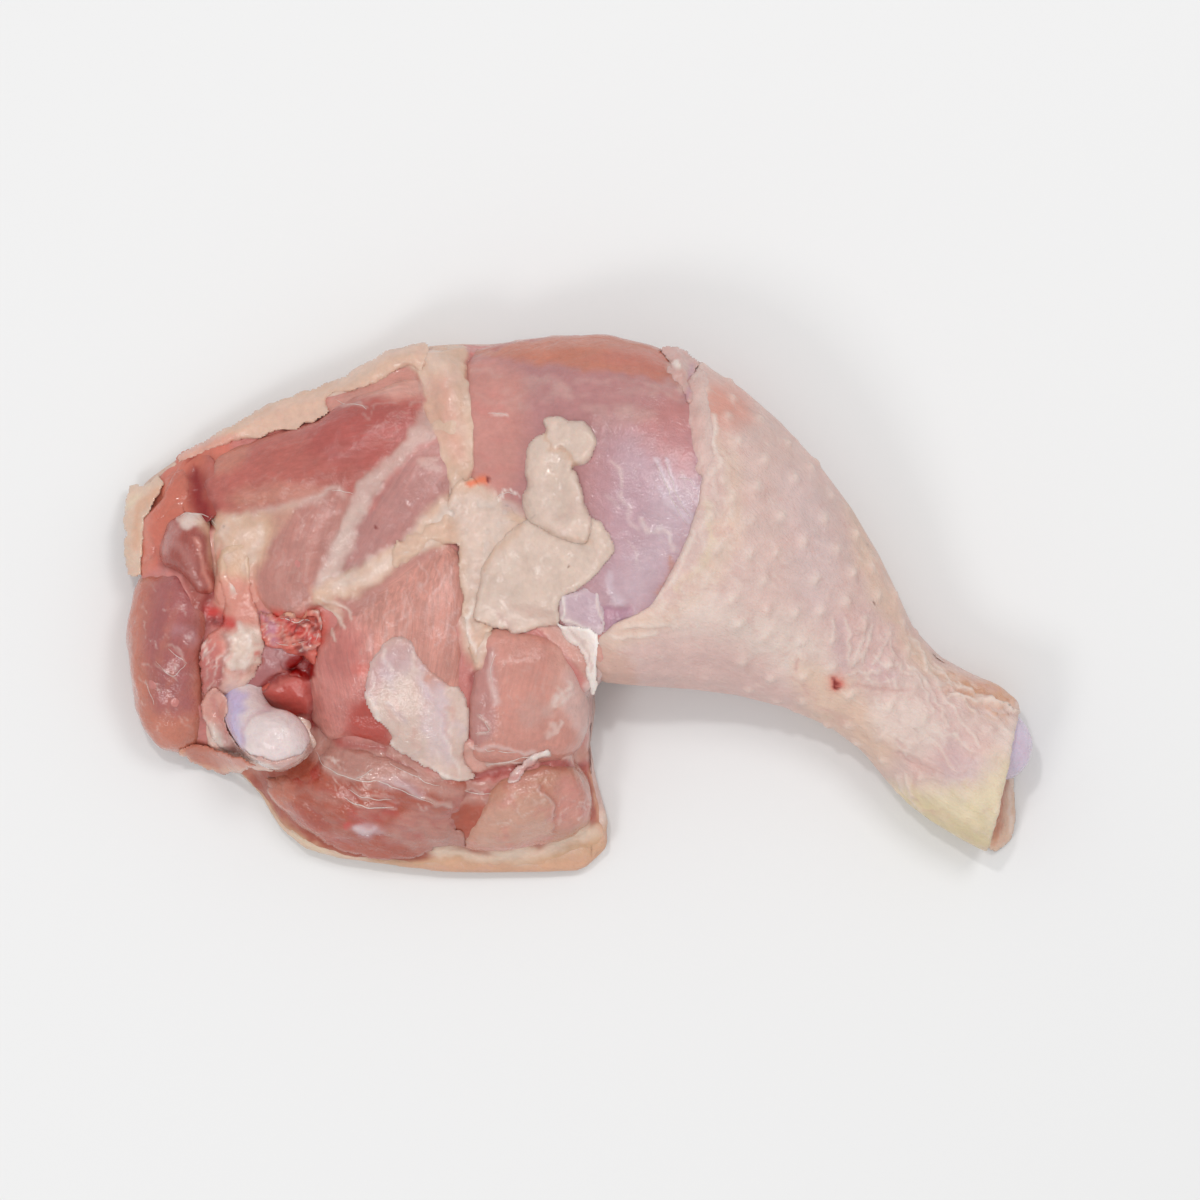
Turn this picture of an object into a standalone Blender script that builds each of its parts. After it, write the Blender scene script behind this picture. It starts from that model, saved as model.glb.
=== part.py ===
"""A raw chicken leg, thigh and drumstick together, lying on its skin with the cut side up.

Lengths are in millimetres until a mesh is made, which is in metres. X runs from the hip to the
hock, Y from the rear of the thigh to its front, and Z up. The skin lies flat on z = 0.
"""
import math

import bmesh
import bpy
import numpy as np
from mathutils import Vector
from mathutils.bvhtree import BVHTree

MM = 0.001

# driving dimensions
SKIN_THICK = 1.2        # skin, everywhere
CLEAR = 0.35            # gap between pieces that touch
SIDE_CLEAR = 1.1        # the same beside the skin's sloping edge
LIFT = 0.6              # gap under a thin layer that lies on a rounded piece
CALF_HEIGHT = 36.5      # top of the drumstick at its thickest
HOCK_HEIGHT = 21.0      # top of the drumstick at the hock
SKIN_CUT = 9.0          # how high the skin reaches where the calf is bare
RIM_RUN = 7.0           # how far the skin's turned-up edge slopes inward
OUTLINE_POINTS = 96     # how finely the muscles' outlines are worked out
EDGE_POINTS = 240       # the same for the edge of the thigh's skin
WALL_POINTS = 60        # the same for what the muscles press against
SKIN_POINTS = 48        # points round the mesh of the thigh's skin
ARC_STEPS = 16          # points worked out between two knots of a curve
HEIGHT_REACH = 9.0      # how softly the thigh's top runs from one mark to the next
ROOM_TOP = 70.0         # height of the cutters, above everything
PRESS_STEPS = 5         # rounds in which the muscles are pressed together
MOST_PRESS = 0.9        # the most that one round moves an outline
RIM_SLOPE = ((0.0, 1.0), (0.5, 0.25), (1.0, 0.0))   # share of that run, share of its height
LEAST_THICK = 0.8       # the least that a pad or a layer measures from under to top
SEAM_SINK = 0.6         # how far the fat in a crease lies under the thigh's top
MEAT_END = 2.4          # how far the meat stops short of the cut at the hock
FEMUR_RADIUS = 4.2      # thigh bone, shaft
TIBIA_RADIUS = 3.9      # shin bone, shaft
FEMUR_HEAD = 6.4        # ball of the hip joint
EDGE_DROP = 2.2         # depth of the crease at a muscle's edge
THIGH_CENTRE = np.array((-38.0, 0.0))

# what the thigh's skin reaches: x, y, height of the turned-up edge, width of its fatty rim
THIGH_EDGE = (
    (-91.0, 20.0, 7.0, 3.0), (-84.0, 27.0, 8.0, 3.0), (-72.0, 34.0, 11.0, 2.4),
    (-60.0, 40.0, 13.0, 4.2), (-48.0, 44.2, 14.5, 4.6), (-38.0, 50.0, 16.0, 4.4),
    (-26.0, 51.9, 17.0, 4.0), (-12.0, 51.0, 9.0, 1.2), (-4.0, 40.0, 5.0, 1.2),
    (-2.0, 20.0, 5.0, 1.2), (-1.0, 2.0, 5.0, 1.2), (1.5, -10.0, 5.0, 1.2),
    (3.4, -16.5, 6.0, 1.2), (3.2, -24.0, 6.0, 1.2), (2.4, -31.0, 5.0, 1.2),
    (5.0, -40.0, 6.0, 1.8), (6.4, -49.0, 5.0, 4.0), (2.0, -53.8, 4.5, 5.0),
    (-10.0, -54.4, 5.0, 5.0), (-26.0, -54.4, 5.5, 4.2), (-42.0, -52.2, 6.0, 1.8),
    (-54.0, -50.2, 5.5, 2.8), (-61.6, -43.8, 3.4, 1.4), (-66.6, -35.0, 2.4, 1.2),
    (-76.0, -32.6, 3.0, 2.4), (-83.0, -25.0, 1.6, 1.4), (-86.0, -10.0, 1.6, 1.4),
    (-86.5, 4.0, 1.6, 1.4), (-88.0, 13.0, 4.0, 1.8),
)

# how high the thigh stands: x, y, z
THIGH_HEIGHTS = (
    (-45, 34, 21.0), (-60, 27, 18.0), (-72, 24, 13.5), (-58, 38, 13.5), (-40, 46, 16.5),
    (-33, 42, 20.0), (-24, 44, 22.0), (-24, 30, 24.0), (-36, 20, 23.5), (-44, 17, 22.0),
    (-56, 10, 21.5), (-36, 9, 23.5), (-68, 12, 18.0), (-68, 1, 17.0), (-38, -5, 25.5),
    (-28, 6, 25.5), (-50, -15, 21.5), (-42, -27, 20.0), (-30, -24, 24.0), (-10, -18, 26.5),
    (1, -18, 22.5), (-10, -30, 22.0), (-44, -38, 17.0), (-62, -36, 10.5), (-40, -50, 9.5),
    (-10, -42, 17.0), (4, -42, 12.5), (-10, -51, 9.0), (-82, -10, 17.5), (-90, -5, 12.0),
    (-82, -28, 11.0), (-78, 11, 16.5), (-84, 21, 11.5), (-89, 12, 9.0), (-59, -16, 15.0),
    (-66, -10, 18.0), (-74, -24, 12.0),
)

# the drumstick's front and rear edges from the knee to the hock, as seen from above
CALF_FRONT = (
    (-23.4, 51.4), (-14.0, 53.0), (0.0, 54.9), (12.0, 53.4), (24.0, 48.5), (34.0, 42.0),
    (43.0, 33.6), (52.0, 23.0), (59.5, 11.0), (64.2, 1.5), (68.5, -7.0), (76.0, -13.0),
    (83.5, -15.9), (88.6, -20.0),
)
CALF_REAR = (
    (-20.5, -3.0), (-12.0, -5.0), (-5.0, -6.0), (0.0, -9.0), (4.6, -15.4), (15.0, -16.5),
    (26.0, -17.4), (38.0, -19.5), (50.0, -24.2), (58.0, -30.0), (64.0, -37.5), (69.0, -42.0),
    (75.5, -46.2), (82.2, -49.8),
)
CALF_TOP = (25.0, 28.0, 32.5, 35.5, CALF_HEIGHT, 36.0, 34.0, 30.0, 25.5, 22.0, 20.0, 20.0,
            HOCK_HEIGHT, HOCK_HEIGHT - 1.0)
KNEE_SQUARE = 4.0       # how square the drumstick is at the knee, where the thigh lies against it
WAIST = 0.42            # height of the drumstick's widest level, as a share of its top
TOP_POWER = 2.15        # how square the drumstick's section is above that level
BASE_POWER = 3.0        # and below it
BASE_SINK = 0.9         # how far its underside is pressed flat

# where the skin of the drumstick stops, from the front edge to the rear one
SKIN_EDGE = (
    (23.0, 58.0), (24.2, 46.0), (23.7, 34.0), (25.0, 26.0), (22.5, 14.5), (18.5, 6.0),
    (14.0, -1.2), (9.5, -3.2), (4.6, -6.4), (3.4, -14.0), (3.8, -19.0),
)

MUSCLES = {
    "front_muscle": dict(
        outline=((-73.5, 17.5), (-76, 22), (-74.5, 28.5), (-68, 31.4), (-60, 33.8), (-52, 36.9),
                 (-44.6, 40.8), (-36, 45.0), (-32.5, 44.5), (-31.2, 40.5), (-33.5, 34.5),
                 (-39, 29.8), (-44, 25.8), (-50, 23.0), (-58, 20.6), (-66, 18.6)),
        crown=1.5, points=28, colour=(0.50, 0.15, 0.11)),
    "middle_muscle": dict(
        outline=((-60, 17.2), (-53, 19.6), (-48.2, 20.6), (-47.4, 16.5), (-49.6, 10.5),
                 (-52, 4.0), (-54, -0.6), (-59.5, -1.8), (-63.4, 0.8), (-64.8, 5.6),
                 (-62.4, 11.2)),
        crown=0.8, points=18, colour=(0.51, 0.26, 0.22)),
    "strap_muscle": dict(
        outline=((-27.6, 33.2), (-31.2, 30.6), (-36.4, 25.6), (-40.4, 18.8), (-43.6, 12.0),
                 (-45.8, 7.8), (-42.6, 8.6), (-36.6, 12.4), (-31.2, 16.6), (-27.2, 20.8),
                 (-25.9, 26.0)),
        crown=0.6, points=18, colour=(0.51, 0.26, 0.22)),
    "inner_muscle": dict(
        outline=((-25.0, 11.6), (-23.0, 4), (-23.8, -4), (-22.9, -12), (-22.6, -22),
                 (-24.4, -30.5), (-31, -31.4), (-38, -28.2), (-46, -26.2), (-51.8, -23.6),
                 (-53.2, -17), (-51, -10), (-46.4, -4.6), (-40.5, -0.4), (-34.6, 4.2),
                 (-29, 8.2)),
        crown=1.2, points=28, colour=(0.57, 0.23, 0.18)),
    "block_muscle": dict(
        outline=((-20.2, -9.2), (-17, -6.3), (-10, -6.9), (-5.2, -7.2), (-1.6, -9.4),
                 (1.4, -15), (1.8, -22), (0.2, -28.2), (-8, -30.4), (-15, -30.2),
                 (-20.8, -28.0), (-21.6, -20)),
        crown=1.6, points=20, colour=(0.60, 0.28, 0.22)),
    "rear_muscle": dict(
        outline=((-62.8, -37.6), (-59.6, -35.2), (-53, -33.4), (-46, -28.9), (-38, -31.2),
                 (-30.5, -34.0), (-22.6, -37.2), (-22.2, -42), (-25.2, -47.4), (-33, -49.9),
                 (-42, -49.4), (-51.5, -46.8), (-58, -42.2)),
        crown=1.4, points=22, colour=(0.48, 0.17, 0.13)),
    "rear_lobe": dict(
        outline=((-22.6, -48), (-19.6, -41.8), (-13, -36.6), (-7, -33.4), (-1.6, -34.6),
                 (1.8, -38.6), (2.2, -42.8), (-3, -45.4), (-8, -48.2), (-15, -49.6)),
        crown=1.6, points=18, colour=(0.56, 0.29, 0.22)),
    "hip_lobe": dict(
        outline=((-86.6, 4.4), (-83.4, 6.4), (-79.8, 6.2), (-77.0, 2.0), (-75.9, -4),
                 (-77.2, -11.5), (-76.2, -19), (-76.2, -24.5), (-79.4, -28.4), (-84.6, -26.4),
                 (-88.2, -18), (-89.6, -5)),
        crown=1.4, points=20, colour=(0.40, 0.16, 0.15)),
    "hip_small_lobe": dict(
        outline=((-81.8, 9.4), (-82, 13), (-79.4, 16.4), (-76, 16.0), (-74.6, 11.5),
                 (-74.2, 4), (-75.2, 2.6), (-77.8, 6.8)),
        crown=1.0, points=16, colour=(0.47, 0.23, 0.20)),
    "hip_edge_muscle": dict(
        outline=((-87.2, 17.4), (-83.2, 21), (-81.6, 26.2), (-78.4, 27.6), (-77.2, 24),
                 (-77.4, 19.2), (-82, 17.4), (-83.8, 12), (-84.4, 8.6), (-88.2, 7.0),
                 (-88.6, 12)),
        crown=0.4, points=18, centre=(-83.6, 18.6), floor=8.8, colour=(0.55, 0.19, 0.12)),
    "hip_red_muscle": dict(
        outline=((-63.2, -18.8), (-60.6, -15.6), (-56.2, -14.2), (-54.6, -17.4),
                 (-54.8, -20.6), (-58.8, -20.0)),
        crown=0.8, points=16, colour=(0.42, 0.06, 0.04)),
    "hip_band_muscle": dict(
        outline=((-56.4, -10.6), (-58.6, -13.2), (-61.6, -14.8), (-63.4, -13.6), (-62.2, -11.4),
                 (-60.0, -9.0), (-57.6, -8.2)),
        crown=0.4, points=12, floor=13.9, colour=(0.38, 0.20, 0.21)),
    "hip_tendon": dict(
        outline=((-66.8, -3.6), (-64.8, -4.6), (-63.4, -8), (-64.4, -11.8), (-66.4, -15.4),
                 (-70.6, -16.4), (-73.4, -12), (-71.4, -7.2), (-68.6, -4.6)),
        crown=1.6, points=18, colour=(0.78, 0.58, 0.48)),
    "hip_capsule": dict(
        outline=((-73.8, -18.0), (-69.6, -17.6), (-65.2, -18.6), (-62.0, -21.6), (-56, -21.8),
                 (-54.2, -25.0), (-54.4, -30.4), (-58.5, -32.4), (-64.5, -32.2), (-70, -29.4),
                 (-74.2, -25.0)),
        crown=-3.0, points=18, colour=(0.74, 0.40, 0.36)),
    "hip_fat": dict(
        outline=((-72.6, 13.8), (-70.6, 16.2), (-66, 16.6), (-62, 15.4), (-62.6, 12.2),
                 (-65.8, 6.2), (-66.6, 0.6), (-68.6, -1.8), (-71.6, 1.4), (-72.2, 8)),
        crown=0.3, points=18, centre=(-68.4, 9.5), colour=(0.76, 0.60, 0.42)),
}

SEAMS = {
    "upper_seam_fat": dict(
        line=((-30.6, 34.4, 1.6), (-34.6, 30.0, 2.2), (-39.3, 25.4, 2.6), (-44.6, 21.2, 3.0),
              (-45.9, 15.0, 2.6), (-48.6, 8.0, 2.4), (-50.0, 4.4, 1.8)),
        colour=(0.74, 0.56, 0.42)),
    "lower_seam_fat": dict(
        line=((-49.6, 0.6, 2.2), (-45.0, 2.6, 3.4), (-39.5, 5.6, 3.8), (-33.5, 9.6, 4.2),
              (-28.4, 13.8, 4.4), (-24.6, 18.2, 4.4)),
        floor=15.6, colour=(0.76, 0.60, 0.46)),
    "band_fat": dict(
        line=((-27.8, 47.6, 5.6), (-26.2, 42.5, 7.0), (-25.0, 37.0, 6.0), (-23.6, 31.5, 4.6),
              (-22.9, 26.0, 2.6)),
        colour=(0.74, 0.55, 0.40)),
}

FAT_FLAP = ((-9.6, 15.6), (-14.4, 12.4), (-17.6, 8), (-19, 2.4), (-19, -2.6), (-12.4, -4.2),
            (-5.6, -2.6), (-3.9, 0.8), (0, 3.4), (4.2, 6.6), (6.6, 9.6), (5.4, 14), (2.4, 16),
            (-3, 15.2))
FAT_CURL = ((-9.4, 17.6), (-10.4, 22), (-9.8, 27), (-9.2, 31.4), (-6.4, 35.4), (-2.6, 36.6),
            (1.4, 35.2), (3.2, 32), (1.8, 28.4), (-0.4, 26), (0.8, 21.5), (2.0, 17.6),
            (-3.5, 16.8))
MEMBRANE = ((-36.4, -8), (-40, -12), (-41.6, -18), (-38.6, -24.4), (-35.6, -26.8),
            (-29.4, -28.4), (-25.4, -28.2), (-24.0, -22), (-24.4, -17.8), (-28, -15),
            (-32, -9.4))
ON_RIM = "hip_edge_muscle"      # it lies on the skin's rim, and the others press against it
HIP_SIDE = ((-84.0, 9.0), (-89.6, 5.5), (-91.2, -4.0), (-89.6, -18.5), (-86.6, -28.0),
            (-79.6, -31.4))     # how far the hip lobe hangs over the skin's edge
CUT_BY_SHAFT = ("inner_muscle", "middle_muscle", "strap_muscle", "hip_red_muscle", "hip_tendon",
                "hip_capsule")
CUT_BY_NECK = ("hip_red_muscle", "hip_tendon", "hip_capsule")

# share of the outline's reach and share of the height, from under the piece to its top
PAD_PROFILE = ((0.93, 0.0), (1.0, 0.25), (1.0, 0.82), (0.965, 0.95), (0.86, 0.99), (0.5, 1.0))
LAYER_PROFILE = ((0.5, 0.0), (0.93, 0.0), (1.0, 0.5), (0.92, 0.95), (0.5, 1.0))

# the thigh bone: x, y, z, radius, from the knee to the hip and then out to the ball
FEMUR_SHAFT = ((-13, 21, 13, 6.4), (-19, 17, 12, 5.2), (-27, 11.7, 10.4, FEMUR_RADIUS),
               (-45, -0.3, 9.4, FEMUR_RADIUS), (-58, -9.0, 8.8, 4.4), (-66, -14.3, 8.8, 4.8),
               (-69.5, -16.6, 8.8, 3.6))
FEMUR_NECK = ((-67.2, -14.2, 8.8, 3.4), (-67.0, -19.5, 11.6, 4.4), (-64.4, -24.2, 15.6, 4.8),
              (-61.8, -26.4, 17.2, FEMUR_HEAD - 0.5), (-59.9, -27.1, 17.9, FEMUR_HEAD),
              (-57.0, -28.2, 18.2, FEMUR_HEAD - 1.2), (-54.9, -29.0, 18.4, 2.6))
TIBIA = ((-3, 20, 17, 6.0), (3, 17, 17, 8.4), (10, 13.4, 16.6, 7.4), (20, 8.2, 16, 4.8),
         (36, -0.4, 14.6, TIBIA_RADIUS), (56, -12.0, 12.4, TIBIA_RADIUS),
         (70, -20.6, 10.8, 4.6), (79.5, -26.2, 10.4, 7.0), (85.2, -28.6, 10.4, 7.4),
         (89.2, -29.4, 10.4, 5.0), (91.0, -29.7, 10.4, 2.2))


def catmull(a, b, c, d, t):
    """The point at share t of the smooth arc from b to c."""
    linear = (c - a) * t
    square = (2 * a - 5 * b + 4 * c - d) * t * t
    cube = (3 * b - a - 3 * c + d) * t ** 3
    return b + 0.5 * (linear + square + cube)


def spread(fine, count, closed):
    """Re-space a fine line evenly by its length in plan."""
    steps = np.linalg.norm(np.diff(fine[:, :2], axis=0), axis=1)
    along = np.concatenate(([0.0], np.cumsum(steps)))
    marks = np.linspace(0, along[-1], count + 1)[:-1] if closed else np.linspace(0, along[-1], count)
    return np.stack([np.interp(marks, along, column) for column in fine.T], axis=1)


def closed_curve(knots, count):
    """Evenly spaced points on a smooth closed curve through the knots."""
    knots = np.array(knots, dtype=float)
    size = len(knots)
    fine = [catmull(*(knots[(i + k - 1) % size] for k in range(4)), t)
            for i in range(size) for t in np.arange(ARC_STEPS) / ARC_STEPS]
    return spread(np.array(fine + fine[:1]), count, True)


def open_curve(knots, count, even=True):
    """Points on a smooth line through the knots, spaced by length or by knot."""
    knots = np.array(knots, dtype=float)
    padded = np.vstack((2 * knots[0] - knots[1], knots, 2 * knots[-1] - knots[-2]))
    shares = np.linspace(0, len(knots) - 1, ARC_STEPS * len(knots) if even else count)
    cells = np.minimum(shares.astype(int), len(knots) - 2)
    fine = np.array([catmull(*padded[i:i + 4], t - i) for i, t in zip(cells, shares)])
    return spread(fine, count, False) if even else fine


def fit_heights(marks):
    """A smooth landscape through the marks, as a function of points in plan."""
    marks = np.array(marks, dtype=float)

    def kernel(places):
        return np.sqrt(((places[:, None] - marks[None, :, :2]) ** 2).sum(2) + HEIGHT_REACH ** 2)

    mean = marks[:, 2].mean()
    weights = np.linalg.solve(kernel(marks[:, :2]), marks[:, 2] - mean)
    return lambda places: mean + kernel(places) @ weights


def turned(outline):
    """Angle, radius and the further columns of an outline about the thigh's centre."""
    arm = outline[:, :2] - THIGH_CENTRE
    angle = np.arctan2(arm[:, 1], arm[:, 0])
    order = np.argsort(angle)
    return angle[order], np.linalg.norm(arm, axis=1)[order], outline[order, 2:]


def thigh_floor(places):
    """The lowest that a piece may reach inside the thigh's skin, at points in plan."""
    angle, radius, extra = turned(closed_curve(THIGH_EDGE, EDGE_POINTS))
    arm = places - THIGH_CENTRE
    turn = np.arctan2(arm[:, 1], arm[:, 0])
    reach = np.interp(turn, angle, radius, period=2 * math.pi)
    rim = np.interp(turn, angle, extra[:, 0], period=2 * math.pi)
    width = np.interp(turn, angle, extra[:, 1], period=2 * math.pi)
    inward = (reach - np.linalg.norm(arm, axis=1) - width - SIDE_CLEAR) / RIM_RUN
    slope = np.interp(inward, *zip(*RIM_SLOPE))
    return SKIN_THICK + CLEAR + (rim - SKIN_THICK) * slope


thigh_top = fit_heights(THIGH_HEIGHTS)


def rings_to_mesh(name, rings):
    """One closed body through rings of equal size, each end filled or drawn to a point."""
    shape = bmesh.new()
    rows = [[shape.verts.new(Vector(point) * MM) for point in ring] for ring in rings]
    for low, high in zip(rows, rows[1:]):
        for i in range(max(len(low), len(high))):
            corners = [low[i % len(low)], low[(i + 1) % len(low)],
                       high[(i + 1) % len(high)], high[i % len(high)]]
            unique = list(dict.fromkeys(corners))
            shape.faces.new(unique)
    for row in (rows[0], rows[-1]):
        if len(row) > 2:
            shape.faces.new(row)
    bmesh.ops.recalc_face_normals(shape, faces=shape.faces)
    bmesh.ops.triangulate(shape, faces=shape.faces)
    mesh = bpy.data.meshes.new(name)
    shape.to_mesh(mesh)
    shape.free()
    mesh.shade_smooth()
    return mesh


def finish(name, mesh, colour, roughness=0.35):
    """Put a mesh in the scene under its name, with its own material."""
    piece = bpy.data.objects.new(name, mesh)
    bpy.context.collection.objects.link(piece)
    material = bpy.data.materials.new(name)
    material.use_nodes = True
    shader = material.node_tree.nodes["Principled BSDF"]
    shader.inputs["Base Color"].default_value = (*colour, 1.0)
    shader.inputs["Roughness"].default_value = roughness
    shader.inputs["Metallic"].default_value = 0.0
    mesh.materials.append(material)
    return piece


def cutter(mesh):
    """A guide that only cuts other pieces."""
    tool = bpy.data.objects.new(mesh.name + "_cutter", mesh)
    bpy.context.collection.objects.link(tool)
    tool.hide_render = True
    tool.display_type = "WIRE"
    return tool


def combine(piece, tool, operation="DIFFERENCE"):
    """Add an exact Boolean to a piece."""
    step = piece.modifiers.new(tool.name, "BOOLEAN")
    step.operation = operation
    step.solver = "EXACT"
    step.object = tool


def press_together(outlines, walls):
    """Grow outlines until they meet their neighbours and the walls, but for the gap."""
    outlines = {name: closed_curve(knots, OUTLINE_POINTS) for name, knots in outlines.items()}
    for _ in range(PRESS_STEPS):
        for name, edge in outlines.items():
            others = [line for other, line in outlines.items() if other != name] + walls
            away = edge[:, None] - np.concatenate(others)[None]
            gap = np.sqrt((away ** 2).sum(2)).min(1) - 2 * CLEAR
            tangent = np.roll(edge, -2, axis=0) - np.roll(edge, 2, axis=0)
            outward = np.column_stack((tangent[:, 1], -tangent[:, 0]))
            outward /= np.linalg.norm(outward, axis=1)[:, None]
            outward *= np.sign((outward * (edge - edge.mean(0))).sum())
            push = np.clip(gap / 2, -MOST_PRESS, MOST_PRESS) / 2
            push = (np.roll(push, 1) + 2 * push + np.roll(push, -1)) / 4
            outlines[name] = edge + outward * push[:, None]
    return outlines


def pad(name, outline, under, over, points=22, centre=None, profile=PAD_PROFILE):
    """A rounded pad in an outline, between two height functions."""
    edge = closed_curve(outline, points)
    middle = edge.mean(axis=0) if centre is None else np.array(centre, dtype=float)

    def ring(reach, share):
        places = middle + (edge - middle) * reach if reach else middle[None]
        low = under(places)
        high = np.maximum(over(places, reach), low + LEAST_THICK)
        return np.column_stack((places, low + (high - low) * share))

    rings = [ring(0.0, 0.0)] + [ring(*row) for row in profile] + [ring(0.0, 1.0)]
    return rings_to_mesh(name, rings)


def muscle_mesh(name, outline, crown, points, centre=None, floor=0.0):
    """A muscle that lies in the thigh's skin, or on a floor, and reaches the thigh's top."""

    def under(places):
        return np.maximum(thigh_floor(places), floor)

    def over(places, reach):
        return thigh_top(places) + crown * (1 - reach ** 2) - EDGE_DROP * reach ** 9

    return pad(name, outline, under, over, points, centre)


def seam_sides(line, count):
    """A strip's middle line, and its two sides, from x, y and width along it."""
    stations = open_curve(line, count)
    run = np.gradient(stations[:, :2], axis=0)
    side = np.stack((-run[:, 1], run[:, 0]), axis=1) / np.linalg.norm(run, axis=1)[:, None]
    taper = np.sin(np.linspace(0.32, math.pi - 0.32, count)) ** 0.35
    half = side * (stations[:, 2] * taper / 2)[:, None]
    return stations[:, :2], stations[:, :2] + half, stations[:, :2] - half


def seam_mesh(name, line, floor=0.0):
    """A strip of fat in the crease between muscles."""
    middle, left, right = seam_sides(line, 2 * len(line))
    half = (left - right) / 2
    section = ((-0.84, 0.0), (-1.0, 0.45), (-0.92, 0.86), (-0.4, 1.0), (0.4, 1.0),
               (0.92, 0.86), (1.0, 0.45), (0.84, 0.0))
    rings = []
    for across, share in section:
        places = middle + half * across
        low = np.maximum(thigh_floor(places), floor)
        high = thigh_top(places) - SEAM_SINK
        rings.append(np.column_stack((places, low + (high - low) * share)))
    return rings_to_mesh(name, np.array(rings).transpose(1, 0, 2))


def calf_mesh(name, inset, start=0.0, stop=0.0, stations=17, around=20):
    """The drumstick's form, moved in by an inset; start and stop lengthen its ends."""
    front = open_curve(CALF_FRONT, stations, even=False)
    rear = open_curve(CALF_REAR, stations, even=False)
    knots = np.arange(len(CALF_TOP))
    tops = open_curve(np.column_stack((knots, CALF_TOP)), stations, even=False)[:, 1]
    middle = (front + rear) / 2
    ahead = np.gradient(middle, axis=0)
    ahead /= np.linalg.norm(ahead, axis=1)[:, None]
    rings = []
    for i in range(stations):
        arm = (front[i] - rear[i]) / 2
        width = np.linalg.norm(arm)
        slide = ahead[i] * (stop * (i == stations - 1) - start * (i == 0))
        waist = WAIST * tops[i]
        ring = []
        for k in range(around):
            turn = 2 * math.pi * (k + 0.5) / around
            across, rise = math.cos(turn), math.sin(turn)
            square = KNEE_SQUARE * max(0.0, 1 - i / (0.4 * stations)) * (across < 0)
            power = 2 / ((TOP_POWER if rise > 0 else BASE_POWER) + square)
            across = math.copysign(abs(across) ** power, across) * (width - inset)
            depth = tops[i] - inset - waist if rise > 0 else waist - inset + BASE_SINK
            z = max(waist + math.copysign(abs(rise) ** power, rise) * depth, inset)
            ring.append((*(middle[i] + slide + arm / width * across), z))
        rings.append(ring)
    return rings_to_mesh(name, rings)


def bone_mesh(name, line, grow=0.0, around=9):
    """A bone as a turned form along a line of x, y, z and radius."""
    stations = open_curve(line, 2 * len(line) - 3, even=False)
    ahead = np.gradient(stations[:, :3], axis=0)
    rings = []
    for spot, run in zip(stations, ahead):
        run = Vector(run).normalized()
        side = run.cross(Vector((0, 0, 1))).normalized()
        rise = side.cross(run)
        turns = [2 * math.pi * k / around for k in range(around)]
        radius = float(max(spot[3], 1.0)) + grow
        rings.append([Vector(spot[:3]) + radius * (math.cos(t) * side + math.sin(t) * rise)
                      for t in turns])
    return rings_to_mesh(name, rings)


def prism_mesh(name, outline, low, high):
    """A straight block over an outline."""
    return rings_to_mesh(name, [[(x, y, z) for x, y in outline] for z in (low, high)])


def thigh_skin_mesh(name, cavity=False):
    """The sheet of skin under the thigh with its turned-up rim, or the room inside it."""
    edge = closed_curve(THIGH_EDGE, SKIN_POINTS)
    arm = edge[:, :2] - THIGH_CENTRE
    reach = np.linalg.norm(arm, axis=1)
    ray = arm / reach[:, None]
    rim, width = edge[:, 2], edge[:, 3]

    def ring(inward, height):
        places = THIGH_CENTRE + ray * (reach - inward)[:, None]
        return np.column_stack((places, np.broadcast_to(height, reach.shape)))

    inner = [ring(width + RIM_RUN * share, SKIN_THICK + (rim - SKIN_THICK) * rise)
             for share, rise in reversed(RIM_SLOPE)]
    if cavity:
        return rings_to_mesh(name, inner + [ring(width, ROOM_TOP)])
    outer = [ring(8.0, 0.0), ring(3.5, 0.08 * rim), ring(0.8, 0.3 * rim), ring(0.0, 0.62 * rim),
             ring(0.4 * width, rim)]
    return rings_to_mesh(name, outer + [ring(width + 6.0, 0 * rim + rim)])


def resting_on(meshes, missing, lift=LIFT, bridge=1.8):
    """The height just above the highest of some meshes, as a function of points in plan.

    A layer doesn't sink into creases: it takes the highest point within the bridge's reach.
    """
    trees = [BVHTree.FromPolygons([v.co / MM for v in mesh.vertices],
                                  [p.vertices for p in mesh.polygons]) for mesh in meshes]

    def height(places):
        heights = []
        for x, y in places:
            hits = [tree.ray_cast(Vector((x + dx, y + dy, 90.0)), Vector((0, 0, -1)))[0]
                    for tree in trees
                    for dx, dy in ((0, 0), (bridge, 0), (-bridge, 0), (0, bridge), (0, -bridge))]
            tops = [hit.z for hit in hits if hit is not None]
            heights.append(max(tops) + lift if tops else missing)
        return np.array(heights)

    return height


def layer_mesh(name, outline, bed, thickness, points):
    """A thin layer that follows the pieces under it."""
    return pad(name, outline, bed, lambda places, _: bed(places) + thickness, points,
               profile=LAYER_PROFILE)


def clear_scene():
    """Remove everything that a new file brings."""
    for item in list(bpy.data.objects):
        bpy.data.objects.remove(item, do_unlink=True)


def form_of(spec, **changes):
    """A piece's measures without its colour."""
    return {key: value for key, value in {**spec, **changes}.items() if key != "colour"}


def build_bones():
    """Both bones, and the swollen copies that make room for them in the meat."""
    femur = finish("femur", bone_mesh("femur", FEMUR_SHAFT), (0.80, 0.78, 0.80), 0.3)
    combine(femur, cutter(bone_mesh("femur_neck", FEMUR_NECK)), "UNION")
    finish("tibia", bone_mesh("tibia", TIBIA), (0.66, 0.62, 0.74), 0.3)
    shaft = cutter(bone_mesh("femur_shaft_room", FEMUR_SHAFT, grow=CLEAR))
    neck = cutter(bone_mesh("femur_neck_room", FEMUR_NECK, grow=CLEAR))
    shin = cutter(bone_mesh("tibia_room", TIBIA, grow=CLEAR))
    return shaft, neck, shin


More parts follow.
